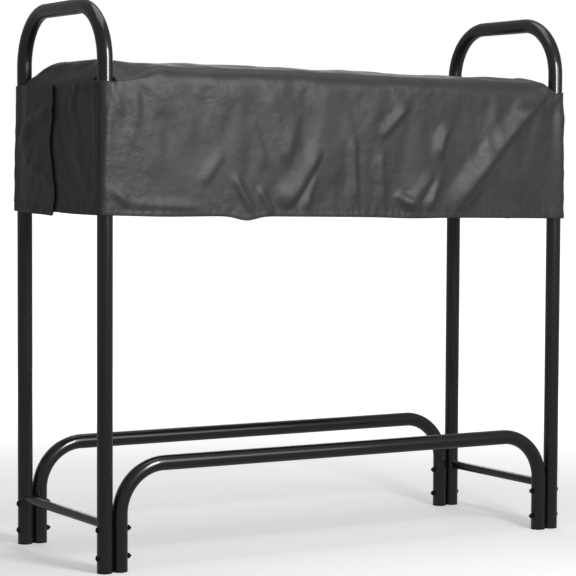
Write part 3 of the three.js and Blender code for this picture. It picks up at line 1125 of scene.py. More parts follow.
@dataclass
class Cover:
    """The fabric cover: one cloth over the top and both long sides, with a flap at each side of each end.

    It is laid out as one net, settled under gravity, made finer, and then parted into its sheets. Hems,
    stitches and closure tapes are laid on the settled cloth.
    """

    frame_sizes: FrameSizes
    fabric: Dress
    thread: Dress
    loop: Dress
    hook: Dress
    ease: float = 1.0 * MM
    bend: float = 34 * MM
    lean: float = 7 * MM
    shoulders: dict[tuple[End, Side], float] = field(default_factory=lambda: {
        (End.LEFT, Side.FRONT): 118 * MM, (End.RIGHT, Side.FRONT): 30 * MM,
        (End.LEFT, Side.REAR): 80 * MM, (End.RIGHT, Side.REAR): 70 * MM,
    })
    main_x: float = 543 * MM
    end_slope: float = 1.15
    cloth: float = 0.9 * MM
    hem: float = 13 * MM
    net: Layout = field(init=False)

    def __post_init__(self) -> None:
        """Read the cover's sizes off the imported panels."""
        sizes = self.frame_sizes
        front_low, front_high = corners("cover_front_panel")
        flap_low, flap_high = corners("left_front_flap")
        rear_low, _ = corners("left_rear_flap")
        top_low, top_high = corners("cover_top_panel")
        self.reach = -front_low[1] - self.ease
        self.edge_top = front_high[2] - self.ease
        self.crown_top = top_high[2] - self.ease
        self.corner_top = flap_high[2]
        self.tongue_x = top_high[0] - self.ease
        self.tongue_low = top_low[2]
        self.hem_ends = {End.LEFT: flap_low[2], End.RIGHT: corners("right_front_flap")[0][2]}
        self.flap_sag = flap_low[2] - rear_low[2]
        self.lap = (front_low[0] - rear_low[0])
        self.net = Layout(
            upright_x=sizes.upright_x,
            upright_y=sizes.upright_y,
            wrap=self.reach - sizes.upright_y,
            reach=self.reach,
            main_x=self.main_x,
            front_flap=sizes.upright_y + flap_high[1],
            rear_flap=sizes.upright_y - rear_low[1],
        )

    # -- the shape the cloth is laid out in

    def level(self, x: Array) -> Array:
        """Height of the long top edges between their shoulders: a low swell left of the middle, on a lean."""
        swell = 3.0 * MM * np.exp(-(((x + 165 * MM) / (140 * MM)) ** 2))
        return self.edge_top + 1.0 * MM - self.lean * x / self.main_x + swell

    def edge_height(self, x: Array, side: Side) -> Array:
        """Height of a long top edge, eased down to the corners over its shoulders."""
        level = self.level(x)
        left = 1.0 - eased(x + self.main_x, 0.0, self.shoulders[End.LEFT, side])
        right = 1.0 - eased(self.main_x - x, 0.0, self.shoulders[End.RIGHT, side])
        return level - (level - self.corner_top - 5 * MM) * np.maximum(left, right)

    def hem_height(self, along: Array, side: Side) -> Array:
        """Height of the hem: straight from end to end, with a few shallow swags and each rear flap's sag."""
        x = np.clip(along / self.net.upright_x, -1.0, 1.0) * 0.5 + 0.5
        level = self.hem_ends[End.LEFT] * (1.0 - x) + self.hem_ends[End.RIGHT] * x
        if side is Side.FRONT:
            swags = ((-245 * MM, 30 * MM, 9 * MM), (-430 * MM, 90 * MM, 2 * MM), (160 * MM, 70 * MM, 2 * MM))
        else:
            swags = ((-330 * MM, 60 * MM, 5 * MM), (60 * MM, 80 * MM, 3 * MM), (380 * MM, 45 * MM, 7 * MM))
            past = np.maximum(np.abs(along) - self.net.upright_x - self.net.arc, 0.0)
            level = level - self.flap_sag * past / self.net.rear_flap
        for centre, spread, depth in swags:
            level = level - depth * np.exp(-(((along - centre) / spread) ** 2))
        return level

    def front_folds(self) -> list[Fold]:
        """Folds of the front: one broad diagonal from the right shoulder, and the small ones near the hem."""
        return [
            Fold((0.278, 0.728), (0.520, 0.985), 0.0175, 0.052, 0.012, 0.004),
            Fold((0.290, 0.722), (0.338, 0.776), 0.007, 0.010, 0.016),
            Fold((0.186, 0.728), (0.120, 0.760), 0.006, 0.022, 0.014),
            Fold((0.205, 0.724), (0.236, 0.792), 0.0075, 0.024, 0.009),
            Fold((0.150, 0.724), (0.215, 0.800), 0.006, 0.030, 0.010),
            Fold((0.085, 0.880), (0.150, 0.945), 0.0065, 0.028, 0.009),
            Fold((0.235, 0.838), (0.262, 0.905), 0.0065, 0.030, 0.009, 0.006),
            Fold((0.020, 0.740), (0.012, 0.880), 0.0075, 0.026, 0.012),
            Fold((0.090, 0.742), (0.084, 0.850), 0.0040, 0.028, 0.010),
            Fold((-0.150, 0.735), (-0.072, 0.850), 0.0095, 0.050, 0.012, -0.006),
            Fold((-0.105, 0.730), (-0.080, 0.800), 0.0055, 0.018, 0.014),
            Fold((-0.232, 0.725), (-0.275, 0.800), 0.0060, 0.018, 0.014),
            Fold((-0.185, 0.722), (-0.215, 0.775), 0.0055, 0.016, 0.012),
            Fold((-0.413, 1.000), (-0.553, 0.972), 0.0040, 0.016, 0.012),
            Fold((-0.350, 0.780), (-0.300, 0.845), 0.003, 0.024, 0.016),
            Fold((-0.200, 0.815), (-0.235, 0.915), 0.003, 0.026, 0.020),
            Fold((-0.155, 0.830), (-0.120, 0.925), 0.003, 0.030, 0.018),
            Fold((-0.515, 0.742), (-0.592, 0.784), 0.0055, 0.014, 0.020, -0.004),
            Fold((-0.350, 0.733), (-0.530, 0.742), 0.003, 0.012, 0.018),
            Fold((0.330, 0.870), (0.420, 0.960), 0.0025, 0.040, 0.030),
        ]

    def rear_folds(self) -> list[Fold]:
        """Folds of the rear, which hangs much as the front does."""
        return [
            Fold((-0.300, 0.735), (-0.505, 0.975), 0.010, 0.016, 0.044),
            Fold((0.420, 0.730), (0.520, 0.960), 0.007, 0.040, 0.014),
            Fold((0.060, 0.728), (0.010, 0.830), 0.005, 0.020, 0.026),
            Fold((0.180, 0.722), (0.240, 0.830), 0.005, 0.030, 0.016),
            Fold((-0.120, 0.725), (-0.080, 0.800), 0.004, 0.020, 0.016),
            Fold((-0.420, 0.735), (-0.400, 0.800), 0.004, 0.018, 0.014),
            Fold((-0.230, 0.850), (-0.150, 0.940), 0.003, 0.030, 0.020),
            Fold((0.300, 0.860), (0.360, 0.950), 0.003, 0.030, 0.020),
        ]

    def strip(self, side: Side) -> Array:
        """The front or the rear, hem to top edge: plan place plus outward direction times the rise.

        The rise is the sum of three ripples, held to nothing at the top edge and round the uprights. At the
        ends the rear flap steps out to lap over the front one, and its free edge waves in and out.

        Args:
            side: The front or the rear.

        Returns:
            Points with a row for each hem row and a column for each column.
        """
        net = self.net
        along = net.stations(side)
        place, outward = net.plan(along, side)
        main = np.abs(along) <= self.main_x + 1e-9
        edge = self.edge_height(place[:, 0], side)
        bend = self.bend_size(place[:, 0], side)
        top = np.where(main, edge - bend, self.corner_top)
        low = self.hem_height(along, side)
        share = np.linspace(0.0, 1.0, net.hem_rows)[:, None]
        height = low + (top - low) * share
        seed = 11 if side is Side.FRONT else 12
        patch = eased(ripple(along[None], height, seed + 40, 0.5), -0.4, 0.9)
        rise = 1.3 * MM * ripple(along[None], height, seed, 0.30)
        rise = rise + (0.4 + 0.7 * patch) * MM * ripple(along[None], height, seed + 20, 0.085)
        rise = rise + (0.10 + 0.28 * patch) * MM * ripple(along[None], height, seed + 60, 0.034)
        past = np.abs(along) - net.upright_x
        rise = rise * self.loose(past) * (1.0 - eased(share, 0.86, 1.0) * main)
        rise = rise + self.wrap_bulge(along[None], height, side)
        if side is Side.REAR:
            inward = past - net.arc
            rise = rise + self.lap * eased(inward, 12 * MM, 70 * MM)
        floor = -1.2 * MM + 1.2 * MM * eased(past, -60 * MM, -20 * MM)
        rise = np.maximum(rise, floor)
        x = place[:, 0] + outward[:, 0] * rise
        y = place[:, 1] + outward[:, 1] * rise
        if side is Side.REAR:
            y = y + self.free_edge_wave(along, height) * eased(inward, 40 * MM, net.rear_flap)
        return np.stack([x, y, height + 0.0 * x], axis=-1)

    def free_edge_wave(self, along: Array, height: Array) -> Array:
        """How far a rear flap's free edge is drawn back: most at mid height, and a little forward below."""
        drawn = 15 * MM * np.exp(-(((height - 862 * MM) / (44 * MM)) ** 2))
        forward = 9 * MM * np.exp(-(((height - 760 * MM) / (26 * MM)) ** 2))
        return np.where(along < 0, drawn - forward, 0.5 * drawn)

    def loose(self, past: Array) -> Array:
        """How free the cloth is to fold: little round an upright, and fully away from it."""
        arc = self.net.arc
        return 1.0 - 0.85 * eased(past, -30 * MM, 0.0) * (1.0 - eased(past, arc, arc + 40 * MM))

    def bend_size(self, x: Array, side: Side) -> Array:
        """Radius of the long top edge's bend, which tightens towards the corners."""
        left = 1.0 - eased(x + self.main_x, 0.0, 1.15 * self.shoulders[End.LEFT, side])
        right = 1.0 - eased(self.main_x - x, 0.0, 2.4 * self.shoulders[End.RIGHT, side])
        return self.bend * (1.0 - 0.86 * np.maximum(left, right))

    def wrap_bulge(self, along: Array, height: Array, side: Side) -> Array:
        """Puckers where the cloth turns round an upright: short level waves of uneven height."""
        past = np.abs(along) - self.net.upright_x
        near = eased(past, -22 * MM, 4 * MM) * (1.0 - eased(past, self.net.arc, self.net.arc + 30 * MM))
        phase = np.where(along < 0, 0.7, 2.1) + side.value
        wave = np.sin(TURN * height / 0.047 + phase) + 0.7 * np.sin(TURN * height / 0.029 + 2.3 * phase)
        lower = 1.0 - 0.55 * eased(height, 0.84, 0.97)
        swell = np.exp(-(((height - 0.925) / 0.02) ** 2)) * 4.0 * MM * (along > 0) * (side is Side.FRONT)
        return near * (lower * 0.75 * MM * (wave + 0.4) + swell)

    def flap_folds(self, along: Array, height: Array, side: Side) -> Array:
        """Folds of the flaps, drawn on the end seen from outside, with 0 at the hinge."""
        across = np.abs(along) - self.net.upright_x - self.net.arc
        inside = eased(across, 0.0, 25 * MM)
        left = along < 0
        if side is Side.REAR:
            folds = [
                (Fold((0.010, 0.857), (0.190, 0.935), 0.0055, 0.020, 0.034, 0.014), left),
                (Fold((0.185, 0.785), (0.060, 0.828), 0.0035, 0.030, 0.018), left),
                (Fold((0.015, 0.800), (0.170, 0.880), 0.0050, 0.020, 0.032, 0.010), ~left),
                (Fold((0.175, 0.740), (0.050, 0.790), 0.0035, 0.026, 0.018), ~left),
            ]
        else:
            folds = [
                (Fold((0.040, 0.984), (0.160, 0.962), 0.0030, 0.012, 0.020), left),
                (Fold((0.030, 0.760), (0.110, 0.860), 0.0025, 0.030, 0.020), left),
                (Fold((0.040, 0.980), (0.170, 0.940), 0.0030, 0.014, 0.024), ~left),
                (Fold((0.020, 0.770), (0.120, 0.830), 0.0025, 0.030, 0.020), ~left),
            ]
        return sum(fold.rise(across, height) * where for fold, where in folds) * inside

    def top_height(self, x: Array, y: Array) -> Array:
        """Height of the top: the least, eased, of a crowned dome, an end slope and the shoulders' drop.

        Args:
            x: Place along the rack.
            y: Place across it.

        Returns:
            Height at each point.
        """
        front, rear = self.edge_height(x, Side.FRONT), self.edge_height(x, Side.REAR)
        edge = np.where(y < 0, front, rear)
        level = self.level(x)
        limit = self.reach - np.where(y < 0, self.bend_size(x, Side.FRONT), self.bend_size(x, Side.REAR))
        across = np.abs(y) / limit
        drop = (level - edge) * eased(across, 0.45, 1.0)
        dome = level + (self.crown_top - self.edge_top) * (1.0 - across ** 2) - drop
        slope = self.corner_top + self.end_slope * np.maximum(self.tongue_x - np.abs(x), 0.0)
        soft = 3.0 * MM
        least = -soft * np.logaddexp(-dome / soft, -slope / soft)
        inner = 1.0 - eased(across, 0.8, 1.0)
        lump = 1.4 * MM * ripple(x, y, 31, 0.26) + 0.5 * MM * ripple(x, y, 32, 0.07)
        return np.where(across > 0.999, edge, least + lump * inner)

    def top_block(self) -> Array:
        """The bends and the top: rows across the rack, columns along it, then down each tongue."""
        net = self.net
        main = np.linspace(-self.main_x, self.main_x, net.main_columns)
        limits = [self.reach - self.bend_size(main, side) for side in Side]
        y = net.cross_rows(*limits)
        x = main + 0.0 * y
        top = np.stack([x, y, self.top_height(x, y)], axis=-1)
        bends = []
        for side in Side:
            turn = np.linspace(0.0, math.pi / 2, net.bend_rows + 2)[1:-1][::-side.value, None]
            edge, bend = self.edge_height(main, side), self.bend_size(main, side)
            out = self.reach - bend * (1.0 - np.cos(turn))
            up = edge - bend * (1.0 - np.sin(turn))
            bends.append(np.stack([np.broadcast_to(main, out.shape), side.value * out, up], axis=-1))
        middle = np.concatenate([bends[0], top, bends[1]])
        return np.concatenate([self.tongue(End.LEFT), middle, self.tongue(End.RIGHT)], axis=1)

    def tongue(self, end: End) -> Array:
        """A tongue: on down the end slope, over the end, and down inside the flaps."""
        net = self.net
        out = np.array([551, 559, 566, 572, 574.0, 574.5, 574.5]) * MM
        down = np.array([0.0, 0.0, 0.0, 0.0, 0.35, 0.7, 1.0])
        spare = net.side_columns - len(out)
        out = np.concatenate([out, np.full(spare, out[-1])])
        down = np.concatenate([down, np.full(spare, 1.0)])
        cross = net.cross_rows(np.zeros(1), np.zeros(1))[:, 0]
        cross = np.concatenate([np.zeros(net.bend_rows), cross, np.zeros(net.bend_rows)])
        x, y = np.meshgrid(out, np.clip(cross, -net.tongue_half, net.tongue_half))
        top = self.top_height(end.value * x, y)
        z = top * (1.0 - down) + self.tongue_low * down
        wave = 1.0 * MM * np.sin(y / 0.021) * down
        grid = np.stack([end.value * (x - np.abs(wave)), y, z], axis=-1)
        return grid[:, ::-1] if end is End.LEFT else grid

    def lay_out(self) -> Cloth:
        """The whole net, front hem to rear hem, with the cells that aren't cloth left out."""
        grid = np.concatenate([self.strip(Side.FRONT), self.top_block(), self.strip(Side.REAR)[::-1]])
        rows, columns = np.meshgrid(np.arange(grid.shape[0]), np.arange(grid.shape[1]), indexing="ij")
        whole = Cloth(grid.reshape(-1, 3), rows.ravel().astype(float), columns.ravel().astype(float),
                      Patch(grid).faces())
        return whole.part(self.net.kept_cells().ravel())

    # -- settling

    def refined(self, cloth: Cloth) -> Cloth:
        """The cloth with each face made four by the subdivision surface's rule."""
        mesh = bpy.data.meshes.new("refining")
        mesh.from_pydata(cloth.points.tolist(), [], cloth.faces.tolist())
        for name, values in (("row", cloth.rows), ("column", cloth.columns)):
            mesh.attributes.new(name, "FLOAT", "POINT").data.foreach_set("value", values.astype(np.float32))
        helper = bpy.data.objects.new("refining", mesh)
        bpy.context.scene.collection.objects.link(helper)
        subdivide = helper.modifiers.new("finer", "SUBSURF")
        subdivide.levels = subdivide.render_levels = 1
        graph = bpy.context.evaluated_depsgraph_get()
        fine = bpy.data.meshes.new_from_object(helper.evaluated_get(graph))
        points = np.empty(len(fine.vertices) * 3, np.float32)
        fine.vertices.foreach_get("co", points)
        labels = []
        for name in ("row", "column"):
            values = np.empty(len(fine.vertices), np.float32)
            fine.attributes[name].data.foreach_get("value", values)
            labels.append(values.astype(float))
        faces = np.empty(len(fine.loops), np.int32)
        fine.loops.foreach_get("vertex_index", faces)
        bpy.data.objects.remove(helper)
        for old in (mesh, fine):
            bpy.data.meshes.remove(old)
        return Cloth(points.reshape(-1, 3).astype(float), labels[0], labels[1], faces.reshape(-1, 4))

    def folded(self, cloth: Cloth) -> Cloth:
        """The cloth with its standing folds and the small puckers that the hem's stitching draws up."""
        rows_end = cloth.rows.max()
        up = np.minimum(cloth.rows, rows_end - cloth.rows)
        share = up / (self.net.hem_rows - 1)
        height = cloth.points[:, 2]
        rise = np.zeros(len(cloth.points))
        for side in Side:
            here = (cloth.rows < rows_end / 2) == (side is Side.FRONT)
            along = np.interp(cloth.columns, np.arange(self.net.column_count), self.net.stations(side))
            past = np.abs(along) - self.net.upright_x
            main = np.abs(along) <= self.main_x
            folds = self.front_folds() if side is Side.FRONT else self.rear_folds()
            panel = 0.78 * sum(fold.rise(along, height) for fold in folds) * self.loose(past)
            total = panel + self.flap_folds(along, height, side)
            total = total * (1.0 - eased(share, 0.88, 1.0) * main) * (share <= 1.0)
            total = total + self.pucker(along, up * 11.5 * MM)
            rise = np.where(here, total, rise)
        return Cloth(cloth.points + cloth.normals() * rise[:, None], cloth.rows, cloth.columns, cloth.faces)

    def layered(self, cloth: Cloth) -> Cloth:
        """The cloth with its end layers in order: the tongue inside, then the front flap, then the rear flap.

        A front flap's distance out stays past the tongue's and, over the lap, inside the rear flap's; a rear
        flap's stays past the front flap's over the lap. Away from the lap the two limits ease off.

        Args:
            cloth: The folded cloth.

        Returns:
            The cloth with no layer through another.
        """
        points = cloth.points.copy()
        rows_end = cloth.rows.max()
        up = np.minimum(cloth.rows, rows_end - cloth.rows)
        flap_plane = self.net.upright_x + self.net.wrap
        out, across = np.abs(points[:, 0]), points[:, 1]
        for side in Side:
            along = np.interp(cloth.columns, np.arange(self.net.column_count), self.net.stations(side))
            here = (cloth.rows < rows_end / 2) == (side is Side.FRONT)
            past = np.abs(along) - self.net.upright_x - self.net.arc
            on_flap = here & (past > 4 * MM) & (up <= self.net.hem_rows - 1)
            if side is Side.FRONT:
                least = self.tongue_x + 2.8 * MM
                most = flap_plane + 0.6 * MM + 9 * MM * eased(-across, 12 * MM, 60 * MM)
                limited = np.clip(out, least, most)
            else:
                step = eased(past, 12 * MM, 70 * MM)
                limited = np.maximum(out, flap_plane + (self.lap + 1.2 * MM) * step - 1.5 * MM)
            out = np.where(on_flap, limited, out)
        points[:, 0] = np.sign(points[:, 0]) * out
        return Cloth(points, cloth.rows, cloth.columns, cloth.faces)

    def pucker(self, along: Array, up: Array) -> Array:
        """Height of the hem's puckers: a wave along the hem of uneven pitch, times a bell round the seam."""
        phase = along / 0.0185 + 0.9 * np.sin(along / 0.061) + 0.6 * np.sin(along / 0.027 + 1.0)
        strength = 0.35 + 0.65 * eased(np.sin(along / 0.093 + 0.4) + 0.6 * np.sin(along / 0.037), -0.6, 1.2)
        bell = np.exp(-(((up - self.hem) / np.where(up > self.hem, 15 * MM, 16 * MM)) ** 2))
        return 0.75 * MM * np.sin(TURN * phase) * strength * bell

    # -- pieces

    def build(self) -> None:
        """Lay the cloth out, settle it, and make its sheets, hems, stitches and tapes."""
        laid = self.lay_out()
        laid = self.settled(laid)
        self.cloth_net = self.layered(self.folded(self.refined(laid)))
        row, column = self.cloth_net.middle()
        hinge = self.net.side_columns - self.net.wrap_columns
        last = self.net.column_count - 1
        front, rear = row < self.net.hem_rows, row > self.last_row - self.net.hem_rows
        between = (column > hinge) & (column < last - hinge)
        main = self.sheet("cover_main_cloth", between | ~(front | rear), Hang("cover"),
                          "cover_front_panel", "cover_rear_panel", "cover_top_panel")
        self.declare(between | ~(front | rear))
        for side in Side:
            self.hems(f"cover_{name_of(side)}", side, (hinge, last - hinge), Hang("cover"))
        for end in End:
            for side in Side:
                self.flap(end, side)
            self.tapes(end)

    @property
    def last_row(self) -> float:
        """Number of the rear hem's row."""
        return float(self.cloth_net.rows.max())

    def flap_columns(self, end: End, side: Side) -> tuple[float, float]:
        """First and last column of a flap, from the left."""
        net = self.net
        hinge = net.side_columns - net.wrap_columns
        edge = hinge - (net.flap_columns if side is Side.FRONT else net.rear_flap_columns)
        last = net.column_count - 1
        return (edge, hinge) if end is End.LEFT else (last - hinge, last - edge)

    def strip_rows(self, side: Side) -> tuple[float, float]:
        """First and last row of the front or the rear."""
        last = self.net.hem_rows - 1
        return (0, last) if side is Side.FRONT else (self.last_row - last, self.last_row)

    def flap(self, end: End, side: Side) -> None:
        """One flap: its sheet, its hems and its stitches."""
        label = f"{name_of(end)}_{name_of(side)}_flap"
        row, column = self.cloth_net.middle()
        low, high = self.flap_columns(end, side)
        first, last = self.strip_rows(side)
        keep = (column > low) & (column < high) & (row > first) & (row < last)
        hang = Hang.for_flap(end, side, self.frame_sizes)
        piece = self.sheet(f"{label}_cloth", keep, hang, label)
        self.declare(keep)
        self.hems(label, side, (low, high), hang, free_end=end)

    def cut_places(self) -> tuple[Array, Array]:
        """Place of each point of the net on the flat cut: along the rack, and over it from hem to hem."""
        cloth, count = self.cloth_net, np.arange(self.net.column_count)
        front = np.interp(cloth.columns, count, self.net.stations(Side.FRONT))
        rear = np.interp(cloth.columns, count, self.net.stations(Side.REAR))
        across = np.where(cloth.rows < self.last_row / 2, front, rear)
        middle = self.net.column_count // 2
        spine, _ = cloth.grid((0, self.last_row), (middle, middle))
        steps = np.linalg.norm(np.diff(spine[:, 0], axis=0), axis=1)
        over = np.interp(cloth.rows * 2, np.arange(len(steps) + 1), np.concatenate([[0.0], np.cumsum(steps)]))
        return across, over

    def sheet(self, name: str, keep: Array, hang: "Hang", *nodes: str) -> bpy.types.Object:
        """One sheet of the cover, with its thickness."""
        cloth = self.cloth_net
        used, back = np.unique(cloth.faces[keep], return_inverse=True)
        faces = back.reshape(-1, 4)
        cut = np.stack(self.cut_places(), axis=-1)[used][faces]
        piece = make_mesh(name, cloth.points[used], faces, cut, 180.0, False)
        thick = piece.modifiers.new("thickness", "SOLIDIFY")
        thick.thickness = self.cloth
        thick.offset = 0.0
        self.fabric.put_on(piece, None, *nodes)
        hang.hold(piece)
        return piece

    def declare(self, keep: Array) -> None:
        """Work out the places on the flat cut, which are not used."""
        across, over = self.cut_places()

    def hems(self, label: str, side: Side, columns: tuple[float, float], hang: "Hang",
             free_end: Optional[End] = None) -> None:
        """The hem along the bottom, and on a flap those along its free edge and its top.

        Args:
            label: Start of the pieces' names.
            side: The front or the rear.
            columns: First and last column of the sheet.
            hang: What the sheet rides on.
            free_end: The end whose flap this is, or None for a long side.
        """
        points, normals = self.cloth_net.grid(self.strip_rows(side), columns)
        if side is Side.REAR:
            points, normals = points[::-1], normals[::-1]
        edges = [(points[:5], normals[:5])]
        if free_end is not None:
            ways = slice(None, 5) if free_end is End.LEFT else slice(None, -6, -1)
            edges.append((points[:, ways].swapaxes(0, 1), normals[:, ways].swapaxes(0, 1)))
            edges.append((points[:-6:-1], normals[:-6:-1]))
        hems = [self.hem_patch(place, normal) for place, normal in edges]
        piece = make_object(f"{label}_hem", hems, crease=180.0)
        self.fabric.put_on(piece, None)
        hang.hold(piece)
        stitches = [self.stitch_places(place, normal) for place, normal in edges]
        self.sew(f"{label}_stitches", *(np.concatenate(part) for part in zip(*stitches)), hang)

    def hem_patch(self, points: Array, normals: Array) -> Patch:
        """A hem: the cloth folded round its own edge, a flat loop carried along it and closed at its ends.

        Args:
            points: Five lines of the net from the edge inwards, one after another.
            normals: The cloth's normals there.

        Returns:
            The closed patch.
        """
        index, along = even_steps(points[0], 2.6 * MM)
        lines = np.stack([at_index(line, index) for line in points])
        faces_out = np.stack([at_index(line, index) for line in normals])
        pitch = float(np.linalg.norm(lines[1] - lines[0], axis=-1).mean())
        out, width = self.cloth * 1.25, self.hem
        profile = np.array([
            (0.35 * out, width + 0.1 * MM), (0.9 * out, width), (out, width - 0.8 * MM),
            (out * 0.86, width - 2 * MM),
            (out, width - 3.4 * MM), (out * 1.06, width * 0.5), (out, 1.2 * MM), (out * 0.7, -0.3 * MM),
            (0.0, -0.8 * MM), (-out * 0.7, -0.3 * MM), (-out, 1.2 * MM), (-out * 1.06, width * 0.5),
            (-out, width - 1.0 * MM), (-0.35 * out, width + 0.1 * MM),
        ])
        place = profile[:, 1] / pitch
        low = np.clip(np.floor(place).astype(int), 0, len(points) - 2)
        share = (place - low)[:, None, None]
        spot = lines[low] * (1 - share) + lines[low + 1] * share
        outward = faces_out[low] * (1 - share) + faces_out[low + 1] * share
        outward /= np.linalg.norm(outward, axis=-1, keepdims=True)
        ring = (spot + outward * profile[:, 0, None, None]).swapaxes(0, 1)
        ends = [np.repeat(ring[i].mean(axis=0, keepdims=True), ring.shape[1], axis=0)[None] for i in (0, -1)]
        grid = np.concatenate([ends[0], ring, ends[1]])
        down = np.concatenate([[along[0]], along, [along[-1]]])
        round_it = np.concatenate([profile[:, 1], profile[:1, 1]])
        cut = np.stack(np.broadcast_arrays(down[:, None], round_it[None]), axis=-1)
        return Patch(grid, close_columns=True, cut=cut)

    def stitch_places(self, points: Array, normals: Array) -> tuple[Array, Array, Array]:
        """Middle, direction and outward normal of each stitch along a hem's inner edge."""
        index, _ = even_steps(points[0], 4.4 * MM)
        index = index[1:-1]
        pitch = float(np.linalg.norm(points[1] - points[0], axis=-1).mean())
        place = (self.hem - 2.0 * MM) / pitch
        low = int(place)
        share = place - low
        line = points[low] * (1 - share) + points[low + 1] * share
        outward = at_index(normals[low] * (1 - share) + normals[low + 1] * share, index)
        outward /= np.linalg.norm(outward, axis=-1, keepdims=True)
        spot = at_index(line, index) + outward * (self.cloth * 1.12)
        ahead = np.gradient(spot, axis=0)
        return spot, ahead / np.linalg.norm(ahead, axis=-1, keepdims=True), outward

    def sew(self, name: str, spot: Array, ahead: Array, outward: Array, hang: "Hang") -> None:
        """Lay one row of stitches: each a short thread, its radius the root of 1 - t2 along its length.

        Args:
            name: The piece's name.
            spot: Middle of each stitch.
            ahead: Its direction.
            outward: The cloth's normal there.
            hang: What the cloth rides on.
        """
        share = np.array([-1.0, -0.86, -0.4, 0.4, 0.86, 1.0])
        radius = 0.36 * MM * np.sqrt(np.maximum(1.0 - share ** 6, 0.0))
        turn = np.arange(6) * TURN / 6
        beside = np.cross(ahead, outward)
        long = (share * 1.55 * MM)[None, :, None, None] * ahead[:, None, None]
        round_it = radius[None, :, None, None] * (
            np.cos(turn)[None, None, :, None] * outward[:, None, None]
            + np.sin(turn)[None, None, :, None] * beside[:, None, None]
        )
        grids = spot[:, None, None] + long + round_it
        one = Patch(grids[0], close_columns=True).faces()
        faces = (one[None] + (np.arange(len(grids)) * len(share) * len(turn))[:, None, None]).reshape(-1, 4)
        points = grids.reshape(-1, 3)
        if signed_volume(grids[0].reshape(-1, 3) - spot[0], one) < 0:
            faces = faces[:, ::-1]
        piece = make_mesh(name, points, faces, np.zeros((faces.size, 2)), 60.0, True)
        self.thread.put_on(piece, None)
        hang.hold(piece)

    def tapes(self, end: End) -> None:
        """An end's closure: the loop tape on the front flap and the hook tape under the rear one."""
        kinds = ((Side.FRONT, "loop", self.loop, 1.0), (Side.REAR, "hook", self.hook, -1.0))
        for side, kind, dress, outward in kinds:
            label = f"{name_of(end)}_{kind}_tape"
            low, high = corners(label)
            points, normals = self.cloth_net.grid(self.strip_rows(side), self.flap_columns(end, side))
            if side is Side.REAR:
                points, normals = points[::-1], normals[::-1]
            if end is End.RIGHT:
                points, normals = points[:, ::-1], normals[:, ::-1]
            y = points[points.shape[0] // 2, :, 1]
            order = np.argsort(y)
            column = np.interp(np.linspace(low[1], high[1], 14), y[order], order.astype(float))
            z = points[:, points.shape[1] // 2, 2]
            row = np.interp(np.linspace(low[2], high[2], 90), z, np.arange(len(z)))
            spot = at_index(at_index(points.swapaxes(0, 1).reshape(points.shape[1], -1), column)
                            .reshape(len(column), -1, 3).swapaxes(0, 1).reshape(points.shape[0], -1), row)
            spot = spot.reshape(len(row), len(column), 3)
            out = np.array((float(end.value), 0.0, 0.0)) * outward
            patch = self.slab(spot + out * self.cloth * 0.5, out, 1.0 * MM)
            piece = make_object(f"{label}_strip", [patch], crease=50.0)
            dress.put_on(piece, None, label)
            Hang.for_flap(end, side, self.frame_sizes).hold(piece)

    def slab(self, grid: Array, out: Array, thick: float) -> Patch:
        """A thin slab on a grid with rounded edges: its face stands out, and its rim drops to the grid.

        Args:
            grid: Places on the cloth.
            out: Direction away from the cloth.
            thick: Thickness.

        Returns:
            The closed patch: the face's rows with a rim row at each side, closed round the back.
        """
        rows = [grid[:1] + out * 0, grid[:1] + out * thick * 0.8]
        face = grid[1:-1] + out * thick
        body = np.concatenate([*rows, face, grid[-1:] + out * thick * 0.8, grid[-1:]])
        left, right = body[:, :1].copy(), body[:, -1:].copy()
        back = np.concatenate([grid[:1], grid[:1], grid[1:-1], grid[-1:], grid[-1:]])
        ring = np.concatenate([back[:, :1], left * 0.5 + back[:, :1] * 0.5, body[:, 1:-1],
                               right * 0.5 + back[:, -1:] * 0.5, back[:, -1:], back[:, ::-1][:, 1:-1]], axis=1)
        caps = [np.repeat(ring[i].mean(axis=0, keepdims=True), ring.shape[1], axis=0)[None] for i in (0, -1)]
        return Patch(np.concatenate([caps[0], ring, caps[1]]), close_columns=True)

    def settled(self, cloth: Cloth) -> Cloth:
        """The cloth after it has slumped on the stack and against the uprights.

        A point is held where the closure tapes join the flaps and where the cloth is drawn tight round the
        top of an upright, and no point moves further than the cap.

        Args:
            cloth: The cloth as it is laid out.

        Returns:
            The settled cloth.
        """
        drop = Slump()
        along = np.interp(cloth.columns, np.arange(self.net.column_count), self.net.stations(Side.FRONT))
        past = np.abs(along) - self.net.upright_x
        last = self.last_of(cloth)
        up = np.minimum(cloth.rows, last - cloth.rows)
        on_tape = (past > self.net.arc + 150 * MM) & (np.abs(cloth.points[:, 1] - 30 * MM) < 26 * MM)
        tight = (past > -4 * MM) & (past < self.net.arc + 20 * MM) & (up > 20) & (up < self.net.hem_rows)
        in_tongue = (past > -12 * MM) & (up >= self.net.hem_rows)
        moved = drop.run(cloth, self.stack_beneath(cloth), on_tape | tight | in_tongue)
        shift = moved - cloth.points
        size = np.linalg.norm(shift, axis=1, keepdims=True)
        shift = shift * np.minimum(1.0, drop.cap / np.maximum(size, 1e-9))
        shift[:, 2] = np.clip(shift[:, 2], -drop.fall, drop.fall)
        points = cloth.points + shift
        return Cloth(self.clear_of_uprights(points), cloth.rows, cloth.columns, cloth.faces)

    def last_of(self, cloth: Cloth) -> float:
        """Number of the rear hem's row in any cloth of this layout."""
        return float(cloth.rows.max())

